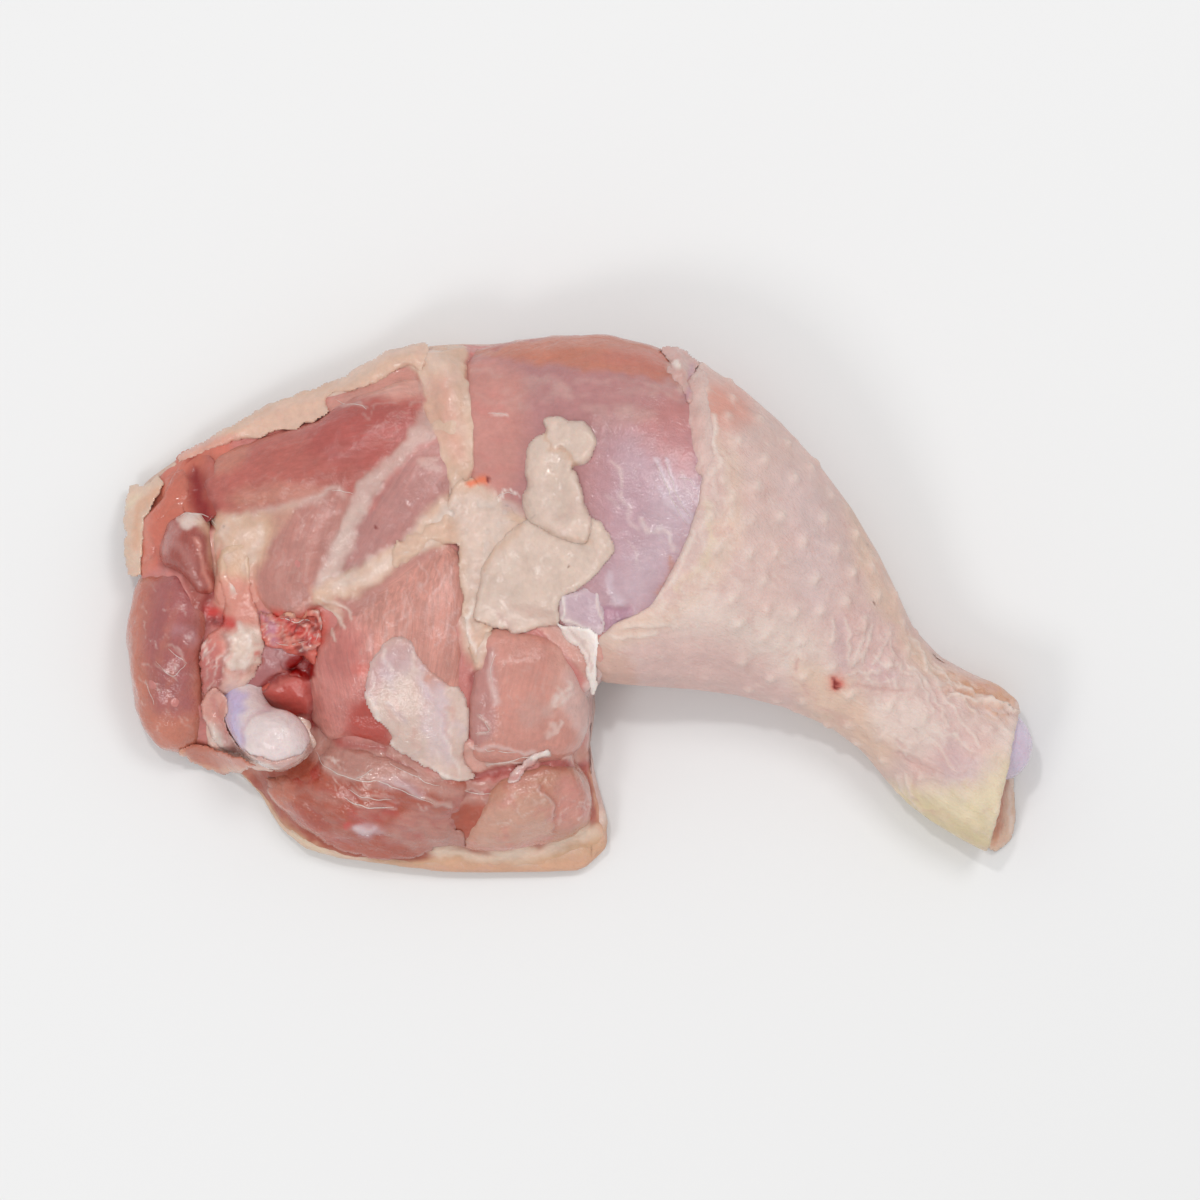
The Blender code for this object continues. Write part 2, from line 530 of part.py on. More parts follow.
def build_drumstick(shaft, shin):
    """The drumstick's meat, with both bones running through it."""
    mesh = calf_mesh("drumstick_meat", SKIN_THICK + CLEAR, start=-1.6, stop=-MEAT_END)
    meat = finish("drumstick_meat", mesh, (0.52, 0.26, 0.25))
    combine(meat, shaft)
    combine(meat, shin)
    return mesh


def build_skin():
    """The skin: a sheet under the thigh that closes round the drumstick."""
    skin = finish("skin", calf_mesh("skin", 0.0, start=-4.0), (0.66, 0.46, 0.38), 0.4)
    combine(skin, cutter(thigh_skin_mesh("thigh_sheet")), "UNION")
    combine(skin, cutter(calf_mesh("drumstick_room", SKIN_THICK, start=6.0, stop=6.0)))
    combine(skin, cutter(thigh_skin_mesh("thigh_room", cavity=True)))
    edge = open_curve(SKIN_EDGE, 22)
    bare = [tuple(point) for point in edge] + [(-22.0, -19.0), (-22.0, 58.0)]
    combine(skin, cutter(prism_mesh("bare_calf", bare, SKIN_CUT, ROOM_TOP)))


def thigh_walls():
    """What the thigh's muscles press against: the skin's rim, the drumstick and the seams."""
    edge = closed_curve(THIGH_EDGE, EDGE_POINTS)
    arm = edge[:, :2] - THIGH_CENTRE
    reach = np.linalg.norm(arm, axis=1)[:, None]
    rim = THIGH_CENTRE + arm * (1 - (edge[:, 3:] + SIDE_CLEAR) / reach)
    knee = open_curve((CALF_FRONT[0], CALF_REAR[0]), WALL_POINTS)
    rear = open_curve(CALF_REAR[:5], WALL_POINTS)
    walls = [rim, knee, rear + (0.0, SKIN_THICK), open_curve(HIP_SIDE, WALL_POINTS)]
    for spec in SEAMS.values():
        walls += seam_sides(spec["line"], WALL_POINTS)[1:]
    return walls


def build_thigh(shaft, neck):
    """The thigh's muscles, and the fat in the creases between them."""
    outlines = {name: spec["outline"] for name, spec in MUSCLES.items() if name != ON_RIM}
    on_rim = closed_curve(MUSCLES[ON_RIM]["outline"], OUTLINE_POINTS)
    outlines = press_together(outlines, thigh_walls() + [on_rim])
    meshes = {}
    for name, spec in MUSCLES.items():
        form = form_of(spec, outline=outlines.get(name, spec["outline"]))
        meshes[name] = muscle_mesh(name, **form)
        muscle = finish(name, meshes[name], spec["colour"])
        if name in CUT_BY_SHAFT:
            combine(muscle, shaft)
        if name in CUT_BY_NECK:
            combine(muscle, neck)
    for name, spec in SEAMS.items():
        finish(name, seam_mesh(name, **form_of(spec)), spec["colour"])
    return meshes


def build_layers(calf, muscles):
    """The fat and the membrane that lie on the muscles."""
    on_calf = resting_on([calf, muscles["block_muscle"]], 25.0)
    finish("fat_flap", layer_mesh("fat_flap", FAT_FLAP, on_calf, 2.6, 28), (0.80, 0.62, 0.46))
    finish("fat_curl", layer_mesh("fat_curl", FAT_CURL, on_calf, 3.2, 28), (0.76, 0.60, 0.46))
    on_inner = resting_on([muscles["inner_muscle"]], 20.0, lift=LIFT + 0.3)
    finish("membrane", layer_mesh("membrane", MEMBRANE, on_inner, 0.8, 24), (0.70, 0.56, 0.52))


def build():
    """Make every piece."""
    clear_scene()
    shaft, neck, shin = build_bones()
    calf = build_drumstick(shaft, shin)
    build_skin()
    muscles = build_thigh(shaft, neck)
    build_layers(calf, muscles)


build()
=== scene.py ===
"""The looks of a raw chicken leg: wet muscle, cream fat, thin membranes, cartilage and bumpy skin.

Shapes are worked out in millimetres in the frame of the CAD model, X from the hip to the hock, Y from
the rear of the thigh to its front and Z up, and become metres when a mesh is made. Colour is laid on in
plan, as strokes along lines and over areas, each with a named colour and a height in relief.
"""
import math

import bpy
import numpy as np
import openvdb as vdb
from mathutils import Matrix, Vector
from mathutils.bvhtree import BVHTree


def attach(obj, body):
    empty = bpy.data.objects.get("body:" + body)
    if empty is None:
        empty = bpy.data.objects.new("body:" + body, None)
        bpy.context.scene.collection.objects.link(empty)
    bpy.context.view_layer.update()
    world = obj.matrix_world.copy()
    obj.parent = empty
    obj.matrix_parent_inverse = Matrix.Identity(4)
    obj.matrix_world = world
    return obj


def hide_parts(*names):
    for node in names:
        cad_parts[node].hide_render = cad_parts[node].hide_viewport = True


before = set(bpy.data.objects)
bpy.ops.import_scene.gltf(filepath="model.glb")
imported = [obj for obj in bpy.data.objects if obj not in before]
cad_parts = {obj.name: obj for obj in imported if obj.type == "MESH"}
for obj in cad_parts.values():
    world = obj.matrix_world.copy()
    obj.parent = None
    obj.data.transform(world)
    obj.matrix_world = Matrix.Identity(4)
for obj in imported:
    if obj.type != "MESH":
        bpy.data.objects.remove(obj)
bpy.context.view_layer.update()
MM = 0.001

# display colours, 0 to 255
COLOURS = {
    "red meat": (177, 94, 84), "deep red meat": (168, 78, 72), "pink meat": (200, 138, 127),
    "orange meat": (190, 130, 110), "pale meat": (180, 122, 112), "mauve meat": (180, 125, 119),
    "salmon": (198, 137, 124), "rose": (196, 120, 113), "brown meat": (165, 77, 55),
    "tan": (180, 126, 114), "lobe": (186, 130, 108), "lobe light": (198, 152, 134),
    "calf": (175, 121, 120), "calf strip": (187, 116, 95), "calf red": (185, 112, 99),
    "lavender": (186, 156, 167), "pale lavender": (202, 180, 188), "lavender film": (208, 184, 186), "violet": (180, 132, 150),
    "fat": (209, 174, 153), "pale fat": (214, 190, 178), "cream": (211, 187, 173),
    "warm fat": (207, 168, 142), "film": (196, 161, 152), "pink lobe": (208, 156, 143), "white film": (232, 217, 209), "bright film": (244, 230, 223), "veil": (211, 184, 173),
    "hip pink": (211, 140, 124), "hip mauve": (160, 86, 84), "hip rim": (187, 112, 91),
    "small lobe": (154, 72, 62), "edge meat": (203, 111, 92), "edge shade": (188, 100, 80),
    # The first colour below, a near-black red, is painted shade: it is laid in creases, grooves and wrinkles, over deep
    # red tissue.
    "crease shade": (134, 4, 2), "blood": (196, 44, 36), "dark blood": (120, 20, 14),
    # The hollow's near-black red on the next line is painted shade over blood red.
    "tissue": (204, 98, 84), "cavity shade": (140, 4, 0), "raw red": (172, 64, 52), "hip band": (170, 108, 108), "rosy meat": (182, 100, 94), "knob": (226, 190, 176), "cartilage": (222, 204, 202),
    "blue cartilage": (190, 176, 206), "end cartilage": (205, 188, 206), "vein": (190, 120, 138), "bluish": (186, 150, 158),
    "skin": (211, 182, 174), "pink skin": (210, 176, 170), "pale skin": (222, 203, 193), "rosy skin": (202, 160, 152),
    "lavender skin": (206, 182, 180), "orange skin": (211, 146, 130), "warm skin": (216, 184, 163),
    "skin fat": (218, 190, 170), "yellow skin": (219, 203, 173), "yellow scale": (214, 195, 153),
    "brown skin": (202, 150, 120), "mauve skin": (200, 168, 170), "peach": (214, 164, 136),
    "margin": (213, 176, 156), "strip": (204, 160, 128), "spot": (226, 112, 70), "speck": (110, 60, 44),
}
FIBROUS = {"salmon": 1.0, "rose": 0.7, "red meat": 0.45, "pink meat": 0.5, "orange meat": 0.4, "pale meat": 0.4,
           "mauve meat": 0.4, "brown meat": 0.5, "tan": 0.4, "lobe": 0.4, "pink lobe": 0.2, "calf": 0.5, "hip mauve": 0.4, "hip rim": 0.4,
           "edge": 0.5}


# ---------------------------------------------------------------- curves, noise and brush strokes

def catmull(a, b, c, d, t):
    """The point at share t of the smooth arc from b to c."""
    return b + 0.5 * ((c - a) * t + (2 * a - 5 * b + 4 * c - d) * t * t + (3 * b - a - 3 * c + d) * t ** 3)


def curve(knots, closed=False, step=0.2):
    """A fine smooth line through the knots."""
    knots = np.array(knots, dtype=float)
    if closed:
        padded = np.vstack((knots[-1], knots, knots[:2]))
    else:
        padded = np.vstack((2 * knots[0] - knots[1], knots, 2 * knots[-1] - knots[-2]))
    shares = np.arange(0, 1, step)
    fine = [catmull(*padded[i:i + 4], t) for i in range(len(padded) - 3) for t in shares]
    return np.array(fine + [padded[-2]])


def ease(low, high, value):
    """0 below low, 1 above high, smooth between."""
    t = np.clip((value - low) / (high - low), 0, 1)
    return t * t * (3 - 2 * t)


def noise(points, size, seed=0):
    """Smooth noise from about -1 to 1 whose lumps are about size across; size may differ by axis."""
    table = np.random.RandomState(seed).rand(32, 32, 32) * 2 - 1
    cells = points / np.asarray(size, dtype=float)
    corner = np.floor(cells).astype(int)
    t = cells - corner
    t = t * t * (3 - 2 * t)
    total = 0
    for dx in (0, 1):
        for dy in (0, 1):
            for dz in (0, 1):
                weight = np.abs(1 - dx - t[:, 0]) * np.abs(1 - dy - t[:, 1]) * np.abs(1 - dz - t[:, 2])
                total = total + weight * table[(corner[:, 0] + dx) % 32, (corner[:, 1] + dy) % 32,
                                               (corner[:, 2] + dz) % 32]
    return total * 1.6


def fractal(points, size, seed=0, octaves=3):
    """Noise summed over halving sizes."""
    size = np.asarray(size, dtype=float)
    return sum(noise(points, size / 2 ** k, seed + k) / 2 ** k for k in range(octaves))


def flat_noise(places, size, seed):
    """Noise in plan."""
    return noise(np.column_stack((places, np.zeros(len(places)))), size, seed)


def distance(places, line):
    """Distance in plan from each place to a fine line."""
    best = np.full(len(places), 1e9)
    for a, b in zip(line[:-1, :2], line[1:, :2]):
        run = b - a
        arm = places - a
        t = np.clip((arm @ run) / (run @ run + 1e-12), 0, 1)
        best = np.minimum(best, ((arm - t[:, None] * run) ** 2).sum(1))
    return np.sqrt(best)


def inside(places, loop):
    """True for places within a closed fine line."""
    result = np.zeros(len(places), dtype=bool)
    x, y = places.T
    for (ax, ay), (bx, by) in zip(loop[:-1, :2], loop[1:, :2]):
        crosses = (ay > y) != (by > y)
        result ^= crosses & (x < ax + (y - ay) / (by - ay + 1e-12) * (bx - ax))
    return result


def line(colour, width, soft, knots, strength=1.0, lift=0.0):
    """A stroke along a line."""
    return colour, strength, width, soft, lift, False, knots


def area(colour, soft, knots, strength=1.0, lift=0.0):
    """A stroke over an area, fading over soft at its edge."""
    return colour, strength, 0.0, soft, lift, True, knots


def dab(colour, radius, soft, place, strength=1.0, lift=0.0):
    """A round spot."""
    return line(colour, 2 * radius, soft, (place, (place[0] + 0.01, place[1])), strength, lift)


def coverage(places, stroke):
    """How much of a stroke lies on each place, 0 to 1."""
    _, strength, width, soft, _, closed, knots = stroke
    fine = curve(knots, closed)
    reach = width / 2 + soft
    mask = np.zeros(len(places))
    close = ((places > fine.min(0) - reach) & (places < fine.max(0) + reach)).all(1)
    spots = places[close]
    if len(spots):
        gap = distance(spots, fine)
        if closed:
            gap = np.where(inside(spots, fine), -gap, gap)
        mask[close] = strength * (1 - ease(width / 2 - soft / 2, width / 2 + soft / 2, gap))
    return mask


def linear(name):
    """A named colour as the linear values that shaders take."""
    share = np.array(COLOURS[name]) / 255
    return np.where(share <= 0.04045, share / 12.92, ((share + 0.055) / 1.055) ** 2.4)


def fibrousness(name):
    """How much a colour's tissue shows its fibres."""
    return max((share for word, share in FIBROUS.items() if word in name), default=0.0)


def scattered(colour, count, loop, width, length, angle, strength=0.6, lift=0.1, seed=0, spread=25):
    """Short strokes of one colour scattered over an area, near one direction in degrees."""
    pick = np.random.RandomState(seed)
    fine = curve(loop, True, 0.5)
    low, high = fine.min(0), fine.max(0)
    strokes = []
    while len(strokes) < count:
        at = pick.uniform(low, high)
        turn = math.radians(angle + pick.uniform(-spread, spread))
        bend = pick.uniform(-0.25, 0.25) * length
        size, share = width * pick.uniform(0.6, 1.4), strength * pick.uniform(0.4, 1.0)
        run = np.array((math.cos(turn), math.sin(turn))) * length * pick.uniform(0.4, 1.0) / 2
        middle = at + bend * np.array((-math.sin(turn), math.cos(turn)))
        if inside(at[None], fine)[0]:
            strokes.append(line(colour, size, max(size, 0.4), (at - run, middle, at + run), share, lift))
    return strokes


def laid_on(points, base, strokes):
    """Colour, relief and fibrousness at each point, from a base colour and strokes in order."""
    warp = np.column_stack((noise(points, 4.0, 11), noise(points, 4.0, 12))) * 0.45
    warp += np.column_stack((noise(points, 1.5, 13), noise(points, 1.5, 14))) * 0.34
    places = points[:, :2] + warp
    colour = np.tile(linear(base), (len(points), 1))
    fibre = np.full(len(points), fibrousness(base))
    relief = np.zeros(len(points))
    for stroke in strokes:
        mask = coverage(places, stroke)
        relief += stroke[4] * mask
        if stroke[0]:
            colour += mask[:, None] * (linear(stroke[0]) - colour)
            fibre += mask * (fibrousness(stroke[0]) - fibre)
    return colour, relief, fibre


# ---------------------------------------------------------------- meshes as arrays

def node_arrays(name):
    """Corners in millimetres and triangles of a CAD node."""
    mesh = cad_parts[name].data
    points = np.empty(3 * len(mesh.vertices))
    mesh.vertices.foreach_get("co", points)
    mesh.calc_loop_triangles()
    faces = np.empty(3 * len(mesh.loop_triangles), dtype=int)
    mesh.loop_triangles.foreach_get("vertices", faces)
    return points.reshape(-1, 3) / MM, faces.reshape(-1, 3)


def offset(points, faces, amount, voxel):
    """The surface at a distance outside (or inside) a closed shape, as quads."""
    none = np.zeros((0, 3), np.uint32), np.zeros((0, 4), np.uint32)
    shape = {"triangles": faces.astype(np.uint32), "quads": none[1]}
    if faces.shape[1] == 4:
        shape = {"triangles": none[0], "quads": faces.astype(np.uint32)}
    grid = vdb.FloatGrid.createLevelSetFromPolygons(
        points.astype(np.float32), transform=vdb.createLinearTransform(voxelSize=voxel),
        halfWidth=abs(amount) / voxel + 3, **shape)
    points, quads = grid.convertToQuads(amount)
    return points.astype(float), quads[:, ::-1].astype(int)


def mean_of_neighbours(values, quads):
    """For each corner of a quad mesh, the mean of the values next to it."""
    a, b = np.concatenate([quads[:, [k, (k + 1) % 4]] for k in range(4)]).T
    size = len(values)
    count = np.bincount(a, minlength=size) + np.bincount(b, minlength=size)
    total = [np.bincount(a, v[b], size) + np.bincount(b, v[a], size) for v in values.T]
    return np.stack(total, axis=1) / np.maximum(count, 1)[:, None]


def relax(points, quads, rounds, share=0.6):
    """Smooth a quad mesh by moving each corner towards its neighbours."""
    for _ in range(rounds):
        points = points + share * (mean_of_neighbours(points, quads) - points)
    return points


def normals(points, quads):
    """Unit normals at the corners of a quad mesh."""
    across = np.cross(points[quads[:, 2]] - points[quads[:, 0]], points[quads[:, 3]] - points[quads[:, 1]])
    total = [np.bincount(quads.ravel(), np.repeat(side, 4), len(points)) for side in across.T]
    total = np.stack(total, axis=1)
    return total / (np.linalg.norm(total, axis=1)[:, None] + 1e-12)


def organ(names, voxel=0.5, fill=0.8, swell=0.3, rounds=14, end=1e9):
    """One smooth body from CAD nodes, up to x = end: creases narrower than twice fill are filled."""
    points, faces, start = [], [], 0
    for name in names:
        p, f = node_arrays(name)
        f = f[(p[f, 0] < end).all(1)]
        points.append(p)
        faces.append(f + start)
        start += len(p)
    p, q = offset(np.concatenate(points), np.concatenate(faces), fill + swell, voxel)
    p, q = offset(p, q, -fill, voxel)
    return relax(p, q, rounds), q


class Bed:
    """What has been built so far, for thin things to lie on."""
    points = np.zeros((0, 3))
    quads = np.zeros((0, 4), dtype=int)
    tree = None

    @classmethod
    def add(cls, points, quads):
        cls.quads = np.vstack((cls.quads, quads + len(cls.points)))
        cls.points = np.vstack((cls.points, points))
        cls.tree = None

    @classmethod
    def heights(cls, places, bridge=0.0):
        """How high the built surface is under each place."""
        if cls.tree is None:
            cls.tree = BVHTree.FromPolygons(cls.points.tolist(), cls.quads.tolist())
        down = Vector((0, 0, -1))
        hits = [cls.tree.ray_cast(Vector((x, y, 80)), down)[0] for x, y in places]
        return np.array([hit.z if hit else bridge for hit in hits])


def lattice(outline, step, ragged, seed):
    """A grid of quads that fills a closed outline, its edge ragged: places, depth inside, quads, grid shape."""
    fine = curve(outline, True, 0.125)
    low, high = fine.min(0) - 1.5, fine.max(0) + 1.5
    shape = [int(n) + 1 for n in (high - low) / step]
    x, y = np.meshgrid(*(low[k] + step * np.arange(shape[k]) for k in (0, 1)), indexing="ij")
    places = np.column_stack((x.ravel(), y.ravel()))

    def gap(spots):
        far = distance(spots, fine)
        far = np.where(inside(spots, fine), -far, far)
        return far + ragged * (0.7 * flat_noise(spots, 2.4, seed) + 0.45 * flat_noise(spots, 1.0, seed + 1))

    gaps = gap(places)
    slope = np.stack([g.ravel() for g in np.gradient(gaps.reshape(shape), step)], axis=1)
    keep = gaps < 0.5 * step
    edge = keep & (gaps > -0.5 * step)
    for _ in range(2):
        places[edge] -= gap(places[edge])[:, None] * slope[edge] / ((slope[edge] ** 2).sum(1)[:, None] + 0.05)
    number = np.arange(len(places)).reshape(shape)
    quads = np.stack((number[:-1, :-1], number[1:, :-1], number[1:, 1:], number[:-1, 1:]), axis=2).reshape(-1, 4)
    quads = quads[keep[quads].all(1)]
    depth = np.where(edge, 0.0, np.maximum(-gaps, 0))
    return places, depth, quads, shape


def spanned(heights, shape, rounds):
    """Heights of a cloth over a bed: hollows are bridged, and peaks stay."""
    grid = heights.reshape(shape)
    for _ in range(rounds):
        edge = np.pad(grid, 1, mode="edge")
        mean = (edge[:-2, 1:-1] + edge[2:, 1:-1] + edge[1:-1, :-2] + edge[1:-1, 2:]) / 4
        grid = np.maximum(grid, mean)
    return grid.ravel()


def eased(heights, shape, fall, rounds=14):
    """Heights that fall by at most so much from one place to the next, so that an edge juts out, not down."""
    grid = heights.reshape(shape)
    for _ in range(rounds):
        edge = np.pad(grid, 1, mode="edge")
        highest = np.maximum.reduce((edge[:-2, 1:-1], edge[2:, 1:-1], edge[1:-1, :-2], edge[1:-1, 2:]))
        grid = np.maximum(grid, highest - fall)
    return grid.ravel()


def sheet(outline, thick, round_off, step=0.45, ragged=0.5, lip=-0.2, seed=0, bridge=12, smooth=3, lump=None, level=None, fall=1.6):
    """A thin piece draped on what is built: thick in the middle, rounded off at its edge."""
    places, depth, quads, shape = lattice(outline, step, ragged, seed)
    low = curve(outline, True).min(0) - 2
    high = curve(outline, True).max(0) + 2
    near = ((places > low) & (places < high)).all(1)
    bed = np.zeros(len(places))
    bed[near] = Bed.heights(places[near]) if level is None else level
    bed = spanned(eased(bed, shape, fall * step), shape, bridge)
    for _ in range(smooth):
        bed = spanned(bed, shape, 1) * 0.5 + 0.5 * spanned_mean(bed, shape)
    share = np.clip(depth / round_off, 0, 1)
    lip = lip(places) if callable(lip) else lip
    top = bed + lip + (thick - lip) * np.sqrt(1 - (1 - share) ** 2)
    if lump is not None:
        top += lump(places) * share
    points = np.column_stack((places, top))
    used, index = np.unique(quads, return_inverse=True)
    quads = index.reshape(quads.shape)
    points, bed = points[used], bed[used]
    ends = np.concatenate([quads[:, [k, (k + 1) % 4]] for k in range(4)])
    known = set(map(tuple, ends.tolist()))
    rim = np.array([(a, b) for a, b in ends.tolist() if (b, a) not in known])
    loose = np.unique(rim)
    under = np.column_stack((points[loose, :2], bed[loose] - 0.9))
    lower = np.full(len(points), -1)
    lower[loose] = len(points) + np.arange(len(loose))
    skirt = np.column_stack((rim[:, 1], rim[:, 0], lower[rim[:, 0]], lower[rim[:, 1]]))
    return np.vstack((points, under)), np.vstack((quads, skirt))


def spanned_mean(heights, shape):
    """Heights averaged with those next to them."""
    grid = np.pad(heights.reshape(shape), 1, mode="edge")
    return ((grid[:-2, 1:-1] + grid[2:, 1:-1] + grid[1:-1, :-2] + grid[1:-1, 2:]) / 4).ravel()


def make(name, points, quads, material, replaced=()):
    """A smooth-shaded piece that rides on the leg and stands for CAD nodes."""
    mesh = bpy.data.meshes.new(name)
    mesh.from_pydata((points * MM).tolist(), [], quads.tolist())
    mesh.shade_smooth()
    piece = bpy.data.objects.new(name, mesh)
    bpy.context.scene.collection.objects.link(piece)
    mesh.materials.append(material)
    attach(piece, "root")
    if replaced:
        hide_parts(*replaced)
    return piece


def store(piece, name, values):
    """Keep one or three numbers for each corner for the material to read."""
    kind, field = ("FLOAT", "value") if values.ndim == 1 else ("FLOAT_VECTOR", "vector")
    layer = piece.data.attributes.new(name, kind, "POINT")
    layer.data.foreach_set(field, values.astype(np.float32).ravel())


def dressed(name, points, quads, base, strokes, material, angle=0.0, replaced=(), relief=1.0, stripe=1.0,
            pale_crowns_and_highlights=None):
    """Lay colour and relief on a piece, give it a grain and make it."""
    colour, lift, fibre = laid_on(points, base, strokes)
    # Follicle crowns are mixed towards pale skin: partly their own paler tone, partly a painted highlight.
    if pale_crowns_and_highlights is not None:
        colour += 0.55 * pale_crowns_and_highlights[:, None] * (linear("pale skin") - colour)
    out = normals(points, quads)
    points = points + out * (relief * lift * np.clip(2 * out[:, 2], 0, 1))[:, None]
    points[:, 2] = np.maximum(points[:, 2], 0.02)
    piece = make(name, points, quads, material, replaced)
    store(piece, "tint", colour)
    store(piece, "fibre", fibre * stripe)
    turn = math.radians(angle) if np.isscalar(angle) else np.radians(angle(points))
    bend = 1.6 * noise(points, 26, 7)
    along = points[:, 0] * np.cos(turn) + points[:, 1] * np.sin(turn)
    across = -points[:, 0] * np.sin(turn) + points[:, 1] * np.cos(turn) + bend
    store(piece, "grain", np.stack((along, across, points[:, 2]), axis=1))
    Bed.add(points, quads)
    return piece


# ---------------------------------------------------------------- materials

class Graph:
    """Short names for making shader nodes."""

    def __init__(self, name):
        self.material = bpy.data.materials.new(name)
        self.material.use_nodes = True
        self.tree = self.material.node_tree
        self.shader = self.tree.nodes["Principled BSDF"]

    def node(self, kind, **values):
        made = self.tree.nodes.new(kind)
        for key, value in values.items():
            setattr(made, key, value)
        return made

    def plug(self, socket, value):
        if isinstance(value, bpy.types.NodeSocket):
            self.tree.links.new(value, socket)
        else:
            socket.default_value = value

    def number(self, name):
        return self.node("ShaderNodeAttribute", attribute_name=name).outputs["Fac"]

    def vector(self, name):
        return self.node("ShaderNodeAttribute", attribute_name=name).outputs["Vector"]

    def place(self):
        return self.node("ShaderNodeTexCoord").outputs["Object"]

    def stretch(self, vector, scale):
        made = self.node("ShaderNodeVectorMath", operation="MULTIPLY")
        self.plug(made.inputs[0], vector)
        made.inputs[1].default_value = scale
        return made.outputs[0]

    def scaled(self, vector, factor):
        made = self.node("ShaderNodeVectorMath", operation="SCALE")
        self.plug(made.inputs[0], vector)
        self.plug(made.inputs["Scale"], factor)
        return made.outputs[0]

    def noise(self, vector, scale, detail=3.0, rough=0.55, warp=0.0):
        made = self.node("ShaderNodeTexNoise")
        self.plug(made.inputs["Vector"], vector)
        made.inputs["Scale"].default_value = scale
        made.inputs["Detail"].default_value = detail
        made.inputs["Roughness"].default_value = rough
        made.inputs["Distortion"].default_value = warp
        return made.outputs["Fac"]

    def math(self, operation, a, b=0.0):
        made = self.node("ShaderNodeMath", operation=operation)
        self.plug(made.inputs[0], a)
        self.plug(made.inputs[1], b)
        return made.outputs[0]

    def ramp(self, value, low, high, to_low=0.0, to_high=1.0):
        made = self.node("ShaderNodeMapRange", interpolation_type="SMOOTHSTEP")
        self.plug(made.inputs["Value"], value)
        for key, number in (("From Min", low), ("From Max", high), ("To Min", to_low), ("To Max", to_high)):
            made.inputs[key].default_value = number
        return made.outputs["Result"]

    def mix(self, share, a, b):
        made = self.node("ShaderNodeMix", data_type="RGBA")
        sockets = [s for s in made.inputs if s.type == "RGBA"]
        self.plug([s for s in made.inputs if s.type == "VALUE"][0], share)
        for socket, value in zip(sockets, (a, b)):
            self.plug(socket, value if isinstance(value, bpy.types.NodeSocket) else (*value, 1.0))
        return [s for s in made.outputs if s.type == "RGBA"][0]

    def bump(self, height, strength, depth, under=None):
        made = self.node("ShaderNodeBump")
        self.plug(made.inputs["Strength"], strength)
        made.inputs["Distance"].default_value = depth
        self.plug(made.inputs["Height"], height)
        if under is not None:
            self.plug(made.inputs["Normal"], under)
        return made.outputs["Normal"]

    def finish(self, colour, rough, normal, scatter, radius, coat, coat_rough):
        self.plug(self.shader.inputs["Base Color"], colour)
        self.plug(self.shader.inputs["Roughness"], rough)
        self.plug(self.shader.inputs["Normal"], normal)
        self.plug(self.shader.inputs["Coat Normal"], normal)
        self.shader.inputs["Subsurface Weight"].default_value = scatter
        self.shader.inputs["Subsurface Radius"].default_value = radius
        self.shader.inputs["Subsurface Scale"].default_value = 0.0035
        self.shader.inputs["Coat Weight"].default_value = coat
        self.shader.inputs["Coat Roughness"].default_value = coat_rough
        self.shader.inputs["IOR"].default_value = 1.38
        return self.material


def flesh(name, contrast=0.13, gloss=0.36, coat=0.7):
    """Wet tissue in its laid-on colours: fibres along the grain, mottling, and a wet film over all."""
    g = Graph(name)
    grain, place, fibre = g.vector("grain"), g.place(), g.number("fibre")
    broad = g.noise(g.stretch(grain, (0.04, 0.5, 0.5)), 1.0, 3.0, 0.6, 0.4)
    strand = g.noise(g.stretch(grain, (0.06, 1.5, 1.5)), 1.0, 4.0, 0.62, 0.3)
    cloud = g.noise(place, 110.0, 5.0, 0.62, 0.3)
    speckle = g.noise(place, 700.0, 3.0, 0.6)
    both = g.math("ADD", g.math("MULTIPLY", strand, 0.65), g.math("MULTIPLY", broad, 0.35))
    shade = g.ramp(both, 0.38, 0.62, -contrast, contrast)
    shade = g.math("ADD", 1.0, g.math("MULTIPLY", shade, g.math("ADD", fibre, 0.05)))
    shade = g.math("MULTIPLY", shade, g.ramp(cloud, 0.3, 0.7, 0.93, 1.06))
    shade = g.math("MULTIPLY", shade, g.ramp(speckle, 0.3, 0.7, 0.955, 1.04))
    colour = g.scaled(g.vector("tint"), shade)
    pale = g.ramp(g.noise(g.stretch(grain, (0.12, 0.5, 0.5)), 1.0, 5.0, 0.7, 0.6), 0.54, 0.78, 0.0, 0.5)
    colour = g.mix(g.math("MULTIPLY", pale, fibre), colour, tuple(linear("film")))
    ruddy = g.ramp(g.noise(place, 85.0, 5.0, 0.65, 0.5), 0.54, 0.8, 0.0, 0.22)
    colour = g.mix(ruddy, colour, tuple(linear("rose")))
    rough = g.ramp(g.noise(place, 260.0, 3.0), 0.3, 0.7, gloss - 0.08, gloss + 0.12)
    normal = g.bump(strand, g.math("MULTIPLY", fibre, 0.35), 0.0005)
    normal = g.bump(g.noise(place, 250.0, 5.0, 0.65, 0.3), 0.5, 0.0009, normal)
    normal = g.bump(speckle, 0.40, 0.0003, normal)
    return g.finish(colour, rough, normal, 0.16, (1.0, 0.36, 0.22), coat, 0.07)


